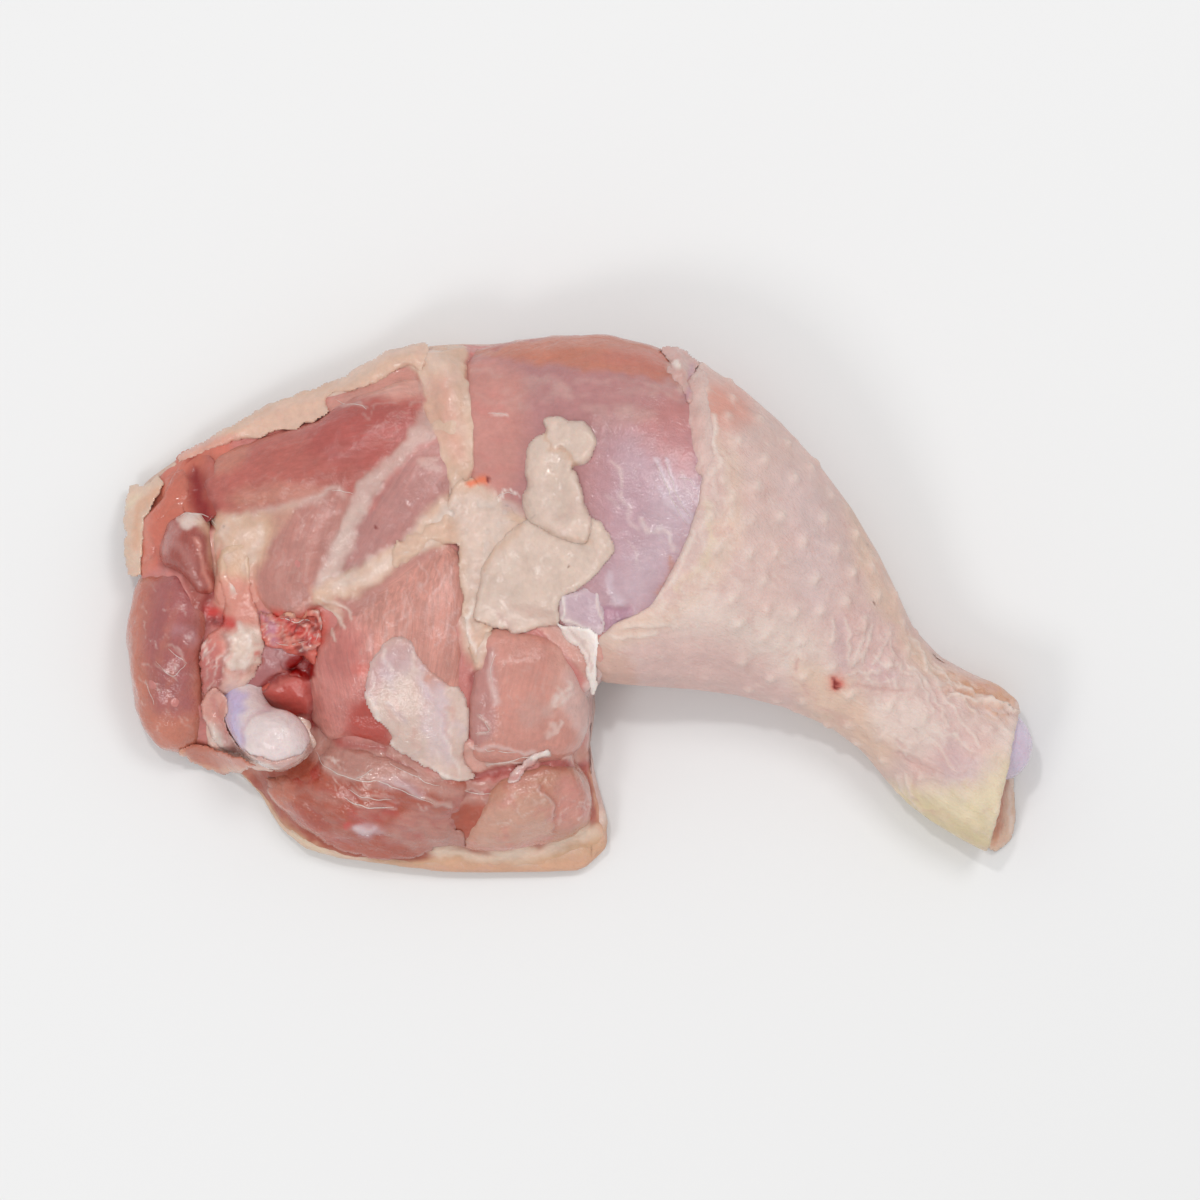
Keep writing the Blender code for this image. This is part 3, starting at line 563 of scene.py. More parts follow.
def hide(name):
    """Raw skin: pale and translucent, finely creased, with a damp sheen."""
    g = Graph(name)
    place, grain = g.place(), g.vector("grain")
    cloud = g.noise(place, 75.0, 5.0, 0.65, 0.4)
    vein = g.noise(place, 300.0, 4.0, 0.65, 0.4)
    shade = g.math("MULTIPLY", g.ramp(cloud, 0.3, 0.7, 0.94, 1.05), g.ramp(vein, 0.3, 0.7, 0.95, 1.04))
    colour = g.scaled(g.vector("tint"), shade)
    rosy = g.ramp(g.noise(place, 150.0, 5.0, 0.7, 0.8), 0.48, 0.72, 0.0, 0.5)
    colour = g.mix(rosy, colour, tuple(linear("rosy skin")))
    milky = g.ramp(g.noise(g.stretch(grain, (0.16, 0.5, 0.5)), 1.0, 5.0, 0.7, 0.6), 0.54, 0.74, 0.0, 0.5)
    colour = g.mix(milky, colour, tuple(linear("pale skin")))
    rough = g.ramp(g.noise(place, 300.0, 3.0), 0.3, 0.7, 0.42, 0.58)
    cell = g.node("ShaderNodeTexVoronoi", feature="DISTANCE_TO_EDGE")
    g.plug(cell.inputs["Vector"], g.stretch(grain, (0.6, 1.0, 1.0)))
    cell.inputs["Scale"].default_value = 1.25
    normal = g.bump(g.ramp(cell.outputs["Distance"], 0.0, 0.3), 0.20, 0.00022)
    normal = g.bump(g.noise(g.stretch(grain, (0.22, 1.0, 1.0)), 0.9, 5.0, 0.65, 0.4), 0.5, 0.0007, normal)
    normal = g.bump(vein, 0.42, 0.0006, normal)
    return g.finish(colour, rough, normal, 0.16, (1.0, 0.5, 0.35), 0.22, 0.16)


# ---------------------------------------------------------------- studio

def bare_floor():
    """A plain pale floor."""
    bpy.ops.mesh.primitive_plane_add(size=6.0, location=(0, 0, 0))
    floor = bpy.context.object
    floor.name = "floor"
    g = Graph("floor")
    g.shader.inputs["Base Color"].default_value = (0.80, 0.80, 0.80, 1)
    g.shader.inputs["Roughness"].default_value = 0.8
    floor.data.materials.append(g.material)


def area_light(name, place, size, power):
    """A soft square light that faces the leg."""
    data = bpy.data.lights.new(name, "AREA")
    data.shape = "SQUARE"
    data.size = size
    data.energy = power
    lamp = bpy.data.objects.new(name, data)
    bpy.context.scene.collection.objects.link(lamp)
    lamp.location = place
    lamp.rotation_euler = Vector(-np.array(place)).to_track_quat("-Z", "Y").to_euler()


def studio():
    """Soft light from above and the sides, and a long lens straight above."""
    scene = bpy.context.scene
    scene.view_settings.view_transform = "Standard"
    scene.view_settings.look = "None"
    world = bpy.data.worlds.new("studio")
    world.use_nodes = True
    world.node_tree.nodes["Background"].inputs[0].default_value = (1.0, 1.0, 1.0, 1)
    world.node_tree.nodes["Background"].inputs[1].default_value = 0.68
    scene.world = world
    area_light("key", (0.35, 0.40, 0.95), 0.30, 2.1)
    area_light("spark", (-0.15, 0.35, 1.0), 0.06, 1.7)
    area_light("fill", (-0.5, -0.6, 0.85), 0.30, 2.3)
    camera = bpy.data.cameras.new("camera")
    camera.lens = 200.0
    camera.sensor_width = 36.0
    camera.clip_end = 10
    eye = bpy.data.objects.new("camera", camera)
    scene.collection.objects.link(eye)
    width, focus = 0.24, 0.016
    middle = (0.0045, 0.0007)
    eye.location = (*middle, focus + width * camera.lens / camera.sensor_width)
    scene.camera = eye


# ---------------------------------------------------------------- colours and relief, laid on in plan

HIP_BLOOD = [
    dab("hip pink", 4.5, 5.0, (-67.5, -1.0), 1.0),
    line("blood", 1.2, 1.6, ((-63.6, -19), (-61.6, -20.4), (-58, -21.6), (-54.6, -21)), 0.8, -0.2),
    area("blood", 2.0, ((-62, -17.6), (-57, -15), (-54, -15.6), (-54, -20), (-58, -20.4)), 0.4),
    line("blood", 2.6, 2.2, ((-72.5, -1.5), (-71.0, -3.8), (-68.6, -4.6))),
    dab("dark blood", 1.2, 1.6, (-71.6, -3.9), 0.9),
    area("tissue", 2.0, ((-61, -1.5), (-56, -2.6), (-51.5, -1), (-49.8, -5), (-51.5, -9), (-55, -10.5), (-60, -8)), 0.9),
    line("blood", 2.0, 1.8, ((-60.5, -3.2), (-57.5, -4.6), (-54.2, -7), (-51.8, -6.2))),
    dab("blood", 1.4, 1.6, (-54.5, -8.8)),
    # The hollow's near-black red is painted shade over blood.
    area("cavity shade", 1.4, ((-57.6, -10.8), (-54, -9.6), (-52, -11.4), (-52.8, -15), (-57, -14.6))),
    line("vein", 1.6, 1.4, ((-62.6, -2.6), (-61.2, -5), (-60.6, -7.2)), 0.9),
    line("pale lavender", 0.7, 0.6, ((-60, -7.4), (-57.4, -8.4), (-54.2, -7.6)), 0.8, 0.3),
    line("pale lavender", 0.6, 0.6, ((-60.4, -8.6), (-57, -9.6), (-54.8, -9.2)), 0.6, 0.3),
]

BAND = ((-23.4, 53), (-22.5, 47), (-22, 44), (-21.3, 41), (-20, 36), (-20.6, 31), (-20.4, 28), (-21.8, 24.5), (-24.6, 22),
        (-26.4, 26), (-28.4, 32), (-30, 38), (-30.6, 42), (-32, 46), (-36, 48), (-41, 47), (-42, 51), (-32, 55))

FRONT_PAINT = [
    area("red meat", 2.2, ((-74, 16.4), (-76.5, 19), (-77, 26), (-72, 31.5), (-66, 33.2), (-60, 35.2), (-52, 38),
                           (-46, 43), (-36, 47), (-31, 46), (-28.5, 42), (-30, 37), (-34, 31.4), (-38, 28.4),
                           (-42.4, 25), (-45.4, 22), (-52, 21.2), (-60, 18.8), (-68, 17.2))),
    area("deep red meat", 4.5, ((-54, 31), (-50, 38.6), (-43, 39.6), (-36, 39.2), (-32, 38.8), (-33.4, 33),
                                (-38, 30.4), (-43, 27.6)), 0.8),
    area("pink lobe", 3.0, ((-50, 40.6), (-44, 43.4), (-36, 46.4), (-31, 45), (-30, 41), (-36, 41.2), (-43, 41)), 0.95),
    line("film", 0.7, 0.7, ((-48.6, 40.8), (-46, 39.8), (-43.4, 39.6), (-42, 38.8)), 0.5, 0.2),
    area("orange meat", 4.0, ((-70, 21), (-62, 23.5), (-54, 24), (-50, 22.4), (-58, 20), (-66, 18.2)), 0.7),
    area("orange meat", 3.0, ((-74, 26), (-72.5, 30.6), (-67, 32.6), (-66, 30), (-70, 26.4)), 0.6),
    # Near-black red along the crease between this muscle and the hip's edge muscle: painted shade over deep red tissue.
    line("crease shade", 2.0, 3.6, ((-77, 28), (-75.6, 22), (-73.6, 17.4)), 0.9),
    area("mauve meat", 1.4, ((-27.6, 35), (-32, 31.4), (-36.6, 27), (-40.6, 20.6), (-44.4, 13), (-47.6, 7), (-46, 5.6),
                             (-41, 8), (-36, 11), (-31, 15.4), (-26.5, 19.6), (-24, 25), (-25.8, 30.6))),
    line("rose", 1.2, 1.2, ((-28, 34), (-33.5, 29.5), (-37.6, 25), (-41.4, 18)), 0.6),
    area("salmon", 1.8, ((-25, 12.8), (-28.4, 9), (-35, 5.4), (-41, 0.6), (-47, -4), (-51.5, -9), (-54.5, -15), (-53, -27),
                         (-38, -30), (-20, -30), (-20, -10), (-22, 4), (-22.6, 10.6))),
    area("rose", 7.0, ((-44, -2), (-49, -6), (-53, -13), (-53.5, -24), (-46, -27), (-38, -28), (-40, -18), (-41, -9)), 0.75),
    area("raw red", 4.0, ((-45, -20), (-40, -18), (-37, -27), (-41, -28.4), (-46, -27)), 0.95),
    area("deep red meat", 5.0, ((-48, -4), (-44, -8), (-44, -15), (-50, -14), (-52, -10)), 0.4),
    dab("tissue", 1.4, 2.0, (-42.8, -13), 0.6),
    # fat and fascia
    line("film", 1.5, 1.8, ((-71, 16.8), (-66, 17.2), (-58, 19.4), (-52, 21.4), (-48.5, 22.6), (-46.6, 22)), 0.85, 0.15),
    line("film", 0.8, 0.8, ((-51.4, 21.8), (-48.6, 22.6)), 0.6, 0.2),
    line("film", 3.0, 1.5, ((-28.6, 36), (-33, 31.8), (-37.6, 27.6), (-41.8, 22.8)), 0.9, 0.3),
    line("film", 3.9, 1.4, ((-40.6, 24.2), (-42.6, 21.6), (-44.6, 17), (-47, 11), (-49.4, 6.2), (-50.8, 2)), 1.0, 0.35),
    line("pale fat", 1.7, 2.6, ((-43.6, 19.8), (-47.2, 11), (-50, 4.6)), 0.5),
    line("fat", 3.6, 1.8, ((-51.6, 1.2), (-48, 3), (-44, 4.8)), 1.0, 0.3),
    line("fat", 4.8, 2.0, ((-46, 3.6), (-41, 6.2), (-36, 9.2), (-31, 12.8), (-27, 16.4)), 1.0, 0.4),
    line("fat", 7.6, 3.0, ((-28.4, 14.8), (-25, 17.4), (-21, 19.6)), 1.0, 0.3),
    line("pale fat", 4.0, 3.0, ((-26, 15.6), (-24.4, 17.4), (-22, 19.6)), 1.0, 0.2),
    line("pale fat", 1.6, 2.0, ((-23.4, 14), (-21.6, 9), (-21.4, 2)), 1.0, 0.2),
    line("pale fat", 1.8, 2.6, ((-48, 3), (-41, 5.4), (-36, 8.4), (-30, 12.2)), 0.75, 0.12),
    area("fat", 1.6, ((-31.4, 46.4), (-29.4, 42), (-30.2, 38.6), (-28.4, 35.4), (-26.8, 30), (-25, 25.4), (-22, 21.5),
                      (-16, 20), (-18, 30), (-18, 52), (-30, 53), (-44, 49.5), (-45, 43.6), (-40.5, 43.6), (-37, 46),
                      (-34, 47.2))),
    line("film", 2.2, 1.8, ((-30.6, 37.4), (-31.6, 35.6), (-33.4, 33.2)), 0.7),
    line("pale fat", 1.2, 1.0, ((-28.8, 28.6), (-30.6, 28), (-28, 26.6)), 0.35),
    # fat over the hip
    line("orange skin", 0.7, 1.0, ((-65, 4), (-62.5, -1), (-59.4, -2.3), (-56, -2), (-53.6, 0.6), (-53, 3)), 0.6, -0.3),
    area("warm fat", 3.4, ((-75, 14.8), (-72.6, 17.4), (-66.5, 17.4), (-61, 17.2), (-61.6, 12), (-64.6, 6), (-65.6, 0.5),
                           (-63, -2.4), (-64, -8), (-72, -6), (-73.5, 0), (-73, 9))),
    area("fat", 3.0, ((-72, 16), (-62.6, 16.4), (-63.4, 11), (-66.6, 9), (-70.6, 10)), 0.7, 0.2),
    area("warm fat", 2.0, ((-62, 17.4), (-56, 20.4), (-57, 17.4), (-61, 13)), 0.35),
    line("pale fat", 1.4, 1.8, ((-63, 15.4), (-64.6, 10), (-66, 7)), 0.5, 0.2),
    line("hip pink", 2.6, 3.2, ((-71.6, 10), (-71, 2), (-69.6, -3)), 0.75, -0.2),
    dab("pale fat", 1.2, 1.6, (-68, 3), 0.8),
    area("hip pink", 3.0, ((-73, 4), (-65, 4), (-64, -5), (-72, -5)), 0.9),
    line("orange skin", 1.4, 1.4, ((-65.4, 6.4), (-65, 2.4), (-63, -0.4)), 0.6, -0.2),
    dab("speck", 0.3, 0.3, (-70.6, 15.2), 0.8),
    dab("dark blood", 0.28, 0.3, (-39.3, 15.3), 0.9),
    line("fat", 3.4, 2.4, ((-50.4, 1.0), (-49, -1.0), (-48.6, -2)), 0.8, 0.2),
    line("pale fat", 0.7, 0.7, ((-51.6, -0.4), (-48, -2.6), (-46.4, -5)), 0.8, 0.2),
    line("pale fat", 0.6, 0.6, ((-51.4, -1.6), (-49.4, -4), (-48.6, -7)), 0.7, 0.2),
    line("pale fat", 0.6, 0.6, ((-50.6, 0.8), (-46.6, -0.8), (-44.4, -3)), 0.7, 0.2),
] + HIP_BLOOD + (
    scattered("pale fat", 30, ((-46, 3), (-30, 12), (-22, 20), (-24, 26), (-34, 14), (-47, 6)), 1.4, 2.4, 35, 0.5, 0.2, 10, 40)
    + scattered("pale fat", 14, ((-74, 16), (-62, 17), (-64, 9), (-72, 9)), 1.4, 2.0, 80, 0.4, 0.2, 11, 60)
    + scattered("film", 10, ((-42, 38), (-31, 44), (-31, 36), (-40, 32)), 0.4, 6.0, 25, 0.35, 0.05, 12, 12)
    + scattered("pink meat", 12, ((-70, 20), (-50, 38), (-36, 34), (-52, 22)), 0.9, 9.0, 12, 0.3, 0.0, 13, 6)
    + scattered("film", 12, ((-60, 16), (-50, 20), (-54, 4), (-62, 8)), 0.5, 5.0, 60, 0.3, 0.05, 14, 25)
    + scattered("pink skin", 34, ((-44, -2), (-28, 8), (-24, 6), (-24, -8), (-40, -10)), 0.28, 7.0, 84, 0.5, 0.05, 15, 5))

CALF_PAINT = [
    area("pink meat", 6.0, ((-24, 47), (-12, 46), (-10, 36), (-11, 26), (-15, 20), (-24, 20)), 0.8),
    area("calf strip", 2.0, ((-26, 54), (-25, 50.6), (-14, 48.8), (-6, 47.4), (0, 46.5), (6, 46), (12, 45.3), (18, 44.5),
                             (24, 43), (26, 52), (10, 58), (-10, 58))),
    area("calf red", 3.0, ((5, 49), (10, 50.4), (17, 50), (19, 47), (17, 45.6), (10, 46.4)), 0.7),
    line("red meat", 1.3, 1.0, ((-22.4, 52), (-17, 51.8), (-12, 53), (-7, 54)), 0.9, -0.2),
    area("lavender", 14.0, ((4, 27), (8, 33), (16, 34), (26, 32), (28, 18), (22, 8), (14, -6), (2, -8), (1, 6), (4, 16)), 0.7),
    area("fat", 2.4, ((-28, 24.5), (-20.4, 24.8), (-16, 21), (-10, 17.4), (-13, 13), (-17, 7), (-19, -2), (-28, -2)), 1.0, 0.3),
    area("pale fat", 4.0, ((-27, 23), (-19, 22), (-13, 17.6), (-17, 8), (-19, -2), (-27, -2)), 1.0),
    line("bluish", 1.0, 1.8, ((-15, 19.6), (-12.6, 18.6), (-11, 17.6)), 0.5),
    area("pale lavender", 7.0, ((15, 22), (20, 26), (24.5, 22), (22, 14), (18, 8), (13, 0), (8, 2), (10, 9), (14, 14)), 0.5),
    area("rose", 6.0, ((13, 38), (22, 40), (24, 30), (22, 25), (18, 27), (14, 31)), 0.5),
    area("rose", 5.0, ((2, 29), (6, 30), (8, 25), (5, 22), (2, 23)), 0.12),
    dab("film", 1.6, 4.4, (-9, 43.2), 0.4),
    line("film", 1.6, 3.6, ((9.6, 38.2), (12.4, 37.4), (14.4, 37.6)), 0.6, 0.1),
    dab("film", 1.8, 2.4, (20, 46.6), 0.9, 0.5),
    dab("white film", 0.7, 0.9, (20, 46.8), 0.8, 0.3),
    line("film", 1.6, 2.0, ((18.4, 50.4), (20.8, 48.6), (21.4, 45), (20.4, 42)), 0.7, 0.2),
    line("violet", 1.3, 1.6, ((22.6, 47.4), (22.8, 43.6), (22, 41)), 0.6, -0.3),
    line("pale lavender", 0.7, 0.6, ((15.4, 28.6), (17.4, 24), (19.4, 19), (22, 15.6)), 0.9, 0.08),
    line("pale lavender", 0.6, 0.5, ((17.2, 28.2), (18.6, 24.4), (20.4, 20), (22.8, 16.4)), 0.8, 0.08),
    line("pale lavender", 0.6, 0.5, ((16.4, 22.6), (18.4, 19.4), (20.6, 16.4)), 0.7, 0.08),
    line("pale lavender", 0.5, 0.5, ((20, 24.6), (22.4, 24.2), (23.6, 22.6)), 0.7, 0.08),
    line("white film", 0.8, 0.8, ((12.6, 16.4), (14, 14.4), (17.8, 14), (19, 11)), 0.4, 0.15),
    line("pale lavender", 1.6, 1.2, ((6.4, 5.6), (6.8, 2.6), (8.6, 0.8)), 0.7, 0.2),
    area("violet", 1.6, ((5.2, -1.2), (10.6, -1), (9.8, -3.4), (5.4, -5.2)), 0.9, -0.6),
    line("orange meat", 1.0, 0.8, ((17.8, 9), (18.8, 6.6), (17.8, 4.4), (15.6, 1.6)), 0.6),
    line("spot", 1.3, 1.2, ((-21.2, 23.6), (-19.4, 24.4), (-18.2, 24.6)), 0.9),
    dab("dark blood", 0.42, 0.4, (-17.8, 24.6)),
    line("white film", 0.35, 0.35, ((-16, 20.4), (-15, 21.6), (-13.4, 22.2), (-12, 21.4)), 0.8, 0.25),
    line("white film", 0.5, 0.5, ((-17.4, 37.8), (-15.6, 37.8), (-14, 37.4)), 0.5, 0.15),
] + (scattered("film", 24, ((-20, 46), (20, 44), (22, 34), (6, 36), (-8, 40), (-20, 40)), 1.2, 7.0, -6, 0.3, 0.05, 16, 12)
     + scattered("white film", 10, ((6, 26), (20, 28), (24, 20), (18, 8), (10, 4), (8, 14)), 0.5, 6.0, -58, 0.3, 0.1, 17, 14)
     + scattered("rose", 12, ((-20, 42), (-12, 40), (-12, 24), (-20, 26)), 1.2, 5.0, -10, 0.3, 0.0, 18, 30))

BLOCK_PAINT = [
    area("salmon", 3.0, ((-19, -9), (-16, -5), (-4, -5), (0, -12), (0, -26), (-12, -29), (-20, -27))),
    area("mauve meat", 1.6, ((-20.5, -12), (-16.8, -8.4), (-15.6, -14), (-15.8, -20), (-16.4, -26), (-21.4, -27)), 0.9),
    line("pink skin", 1.4, 1.2, ((-16.6, -10), (-17, -14), (-16, -19)), 0.7, 0.15),
    line("film", 2.4, 1.6, ((-1.6, -13.4), (-2.8, -18), (-5.6, -21.6)), 0.6, 0.2),
    line("white film", 3.0, 1.4, ((-3.6, -4.8), (0.2, -7), (2, -11), (2.8, -15)), 0.9, 0.35),
    # Pale line down the block's right edge: painted highlight.
    line("pale fat", 1.6, 2.2, ((2.4, -16), (2.8, -22), (1.6, -27)), 0.6),
    line("film", 0.5, 0.5, ((-19.6, -22), (-17.8, -24), (-17.6, -25.2), (-20, -25.6)), 0.8, 0.25),
    line("pink skin", 0.7, 0.7, ((-20.6, -28.2), (-15, -29.2), (-8, -29.6)), 0.8, 0.2),
    dab("film", 3.0, 3.0, (-9, -21.6), 0.35),
    area("pink lobe", 5.0, ((-4, -8), (2, -12), (2, -24), (-4, -22), (-5, -14)), 1.0),
    # The block's right side made lighter and pinker: pink tissue, lightened further by painted light on the side the
    # lamps face.
    area("pink skin", 3.0, ((-2.4, -13), (3, -13), (3, -25), (-1.6, -24)), 0.7, 0.2),
] + (scattered("film", 16, ((-14, -8), (0, -10), (1, -26), (-15, -26)), 0.4, 4.0, 80, 0.4, 0.05, 38, 20)
     + scattered("white film", 8, ((-7, -18), (-1, -16), (-2, -26), (-7, -25)), 0.9, 3.0, 60, 0.5, 0.1, 39, 30))

EDGE_PAINT = [
    area("edge meat", 2.0, ((-90, 19), (-84, 26), (-79, 30.6), (-70, 34), (-70, 24), (-72, 16), (-80, 17), (-84, 8), (-90, 6)),
         lift=0.3),
    area("edge shade", 4.0, ((-84, 20), (-80, 28), (-72, 30), (-72, 24), (-76, 17), (-82, 14)), 0.8),
    # Near-black red over the crease at this muscle's right edge, on this stroke and the line two below: painted shade
    # over deep red tissue.
    area("crease shade", 3.0, ((-77.4, 27), (-75.4, 26), (-73.6, 20), (-73.6, 16), (-77.6, 17)), 0.95),
    line("orange skin", 2.0, 2.4, ((-87, 17), (-86, 12), (-87, 7)), 0.5),
    line("crease shade", 1.6, 3.6, ((-77, 28), (-76, 22), (-74.4, 17)), 0.95),
    area("red meat", 3.0, ((-86, 8), (-80, 9), (-82, 13), (-86, 12)), 0.35),
]

JOINING_PAINT = [
    area("brown meat", 3.0, ((-68, -32), (-52, -30), (-20, -38), (-10, -34), (6, -36), (6, -54), (-66, -54))),
    area("strip", 2.0, ((-64, -40), (-58, -45), (-52, -49.4), (-42, -52), (-32, -52), (-28, -49.6), (-24, -49), (-20, -51),
                        (-8, -48.6), (0, -45), (5, -46), (8, -54), (-30, -58), (-66, -54))),
    line("skin fat", 2.4, 2.4, ((-28, -50), (-24, -49.8), (-20, -51), (-8, -49.8), (0, -46.6), (4, -46)), 0.9, 0.5),
    line("peach", 1.6, 2.0, ((-30, -52.6), (-14, -53), (2, -52)), 0.7),
    *EDGE_PAINT,
    # Near-black red sunk into the crease between the hip's edge muscle and the front muscle, on this stroke and the
    # line two below: painted shade over deep red tissue.
    area("crease shade", 2.6, ((-77.8, 26.4), (-75.4, 26), (-73.6, 20.6), (-72.8, 16), (-77.4, 16.6), (-77, 22)), 0.9, -1.2),
    area("small lobe", 1.6, ((-84, 8), (-80, 10), (-74, 6), (-72.2, -3), (-76, -4), (-79, 5)), 0.95),
    line("crease shade", 3.0, 3.0, ((-76.4, 27), (-75.4, 22), (-73.6, 16.6)), 0.9, -0.4),
    # Near-black red down the right edges of the hip's two lobes: painted shade.
    line("crease shade", 3.0, 2.4, ((-72.4, 8), (-72.8, 0), (-75.4, -6), (-76.8, -12), (-75.6, -18)), 0.8, -0.8),
    area("warm fat", 2.4, ((-73, 16.8), (-66, 17.4), (-61.4, 17), (-62, 12), (-65, 6), (-65.4, 0), (-64, -8), (-70, -6),
                           (-71.6, 2))),
    area("salmon", 2.4, ((-52, 38), (-46, 43.4), (-36, 47.4), (-31, 46.6), (-30, 42), (-44, 40)), 0.95, 0.2),
    area("fat", 2.6, ((-25, 26), (-20, 24.6), (-15.6, 20.6), (-10, 17), (-8, 15), (-14, 9), (-16, -4), (-18.6, -11),
                      (-20.6, -13), (-22.6, -8), (-23.2, -1), (-21.6, 6), (-22.6, 12), (-24.6, 14.6), (-29, 13), (-34, 10.6),
                      (-33, 14), (-27, 18.6)), 1.0, 0.7),
    area("pale fat", 3.0, ((-26, 22), (-18, 21), (-13, 15), (-17, 4), (-19.6, -10), (-22.6, -2), (-22, 8), (-24, 14)), 1.0),
    area("fat", 1.1, BAND, 1.0, 0.75),
    line("pale fat", 3.0, 4.0, ((-34, 50), (-27, 48.6), (-25, 42)), 0.5, 0.15),
    line("pink meat", 2.0, 3.0, ((-29.6, 44), (-29.4, 38), (-27.6, 32)), 0.35, -0.2),
    *scattered("pale fat", 14, BAND, 2.0, 2.6, 80, 0.4, 0.35, 20, 40),
    *scattered("warm fat", 18, BAND, 1.2, 2.4, 80, 0.5, -0.2, 21, 40),
    line("hip pink", 2.4, 5.0, ((-27, 44), (-25.6, 36), (-24, 29)), 0.6),
    line("spot", 1.1, 1.0, ((-21, 23.6), (-19.4, 24.2), (-18.2, 24.6)), 0.95),
    dab("dark blood", 0.45, 0.4, (-17.8, 24.8)),
    area("tan", 2.0, ((-54, -24), (-50, -25.6), (-46, -27), (-37, -28.4), (-27, -34.4), (-13, -36.6), (-18, -40),
                      (-34, -38), (-46, -35), (-53.6, -31)), 1.0, 0.2),
    line("deep red meat", 1.4, 1.6, ((-53.6, -23), (-47, -27.4), (-38.6, -29)), 0.8, -0.5),
    line("deep red meat", 1.0, 1.0, ((-38, -30.6), (-31, -34.8), (-22, -37.8), (-16, -37.6)), 0.6, -0.5),
    line("film", 0.5, 0.5, ((-40, -31.6), (-34, -34), (-28.6, -36.2), (-19, -38)), 0.8, 0.3),
    # Near-black red in the groove at the block muscle's left edge: painted shade.
    line("crease shade", 1.4, 1.2, ((-20.2, -13), (-21, -20), (-21.6, -27)), 0.6, -0.8),
    area("pink lobe", 1.6, ((-9, -3), (0, -4), (5, -8), (5, -17), (2.4, -18), (0, -13), (-4, -8)), 0.9, 0.5),
    area("pink skin", 1.6, ((1.4, -14), (6, -14), (6, -31), (2, -32), (1.2, -26)), 0.9, 0.3),
    area("peach", 1.6, ((2.4, -33), (6, -35), (6, -46), (3.6, -46), (3.4, -40)), 0.8),
    area("pink lobe", 1.6, ((-22, -27.4), (-12, -29.6), (-1, -29), (3, -30), (0, -32), (-8, -32), (-14, -33), (-21.6, -34.4))),
    line("pink skin", 0.7, 0.7, ((-20.6, -28.6), (-16, -29.4), (-10, -29.8)), 0.9, 0.4),
    line("film", 0.7, 0.6, ((-18, -32.2), (-12, -31), (-8, -29.8)), 0.9, 0.45),
    dab("white film", 0.9, 1.0, (-6.6, -30.2), 0.9, 0.5),
    line("deep red meat", 1.8, 1.2, ((-20, -34.4), (-15.4, -33.6), (-12, -32.6)), 0.9, -0.8),
    line("deep red meat", 1.6, 1.2, ((-7, -32.4), (-3, -32), (0, -32.6)), 0.9, -0.8),
    area("hip rim", 2.4, ((-82, -28), (-76, -28), (-68, -31), (-64, -32), (-68, -36), (-82, -34))),
    area("hip band", 1.4, ((-62.6, -8.6), (-57.4, -9.6), (-58, -12), (-63, -16), (-66.6, -19.8), (-68.4, -18.6), (-66, -14),
                             (-63, -11.6)), 1.0, 0.7),
    area("red meat", 1.3, ((-64, -19.6), (-62, -16.8), (-56.4, -14.4), (-54, -17), (-53.8, -22), (-57, -22.6), (-61, -20.6)),
         1.0, 0.9),
    # The hollow's near-black red is painted shade over blood.
    area("cavity shade", 1.6, ((-58, -11), (-54, -9.8), (-52.2, -12), (-53, -15), (-57.4, -14)), 1.0, -1.6),
    # Near-black red in the grooves round the hip's red muscle, on this line and the next: painted shade.
    line("crease shade", 1.2, 1.2, ((-66.6, -19), (-62.4, -15.8), (-57, -13.6)), 0.85, -1.0),
    line("crease shade", 1.6, 1.6, ((-53, -14), (-52.8, -19), (-53, -24.6)), 0.85, -1.0),
    line("dark blood", 1.2, 1.4, ((-58, -22.6), (-54.6, -22)), 0.7, -0.6),
    line("hip pink", 2.6, 2.0, ((-73.6, -17), (-73.4, -23), (-70, -28.6)), 0.9, 0.3),
] + HIP_BLOOD

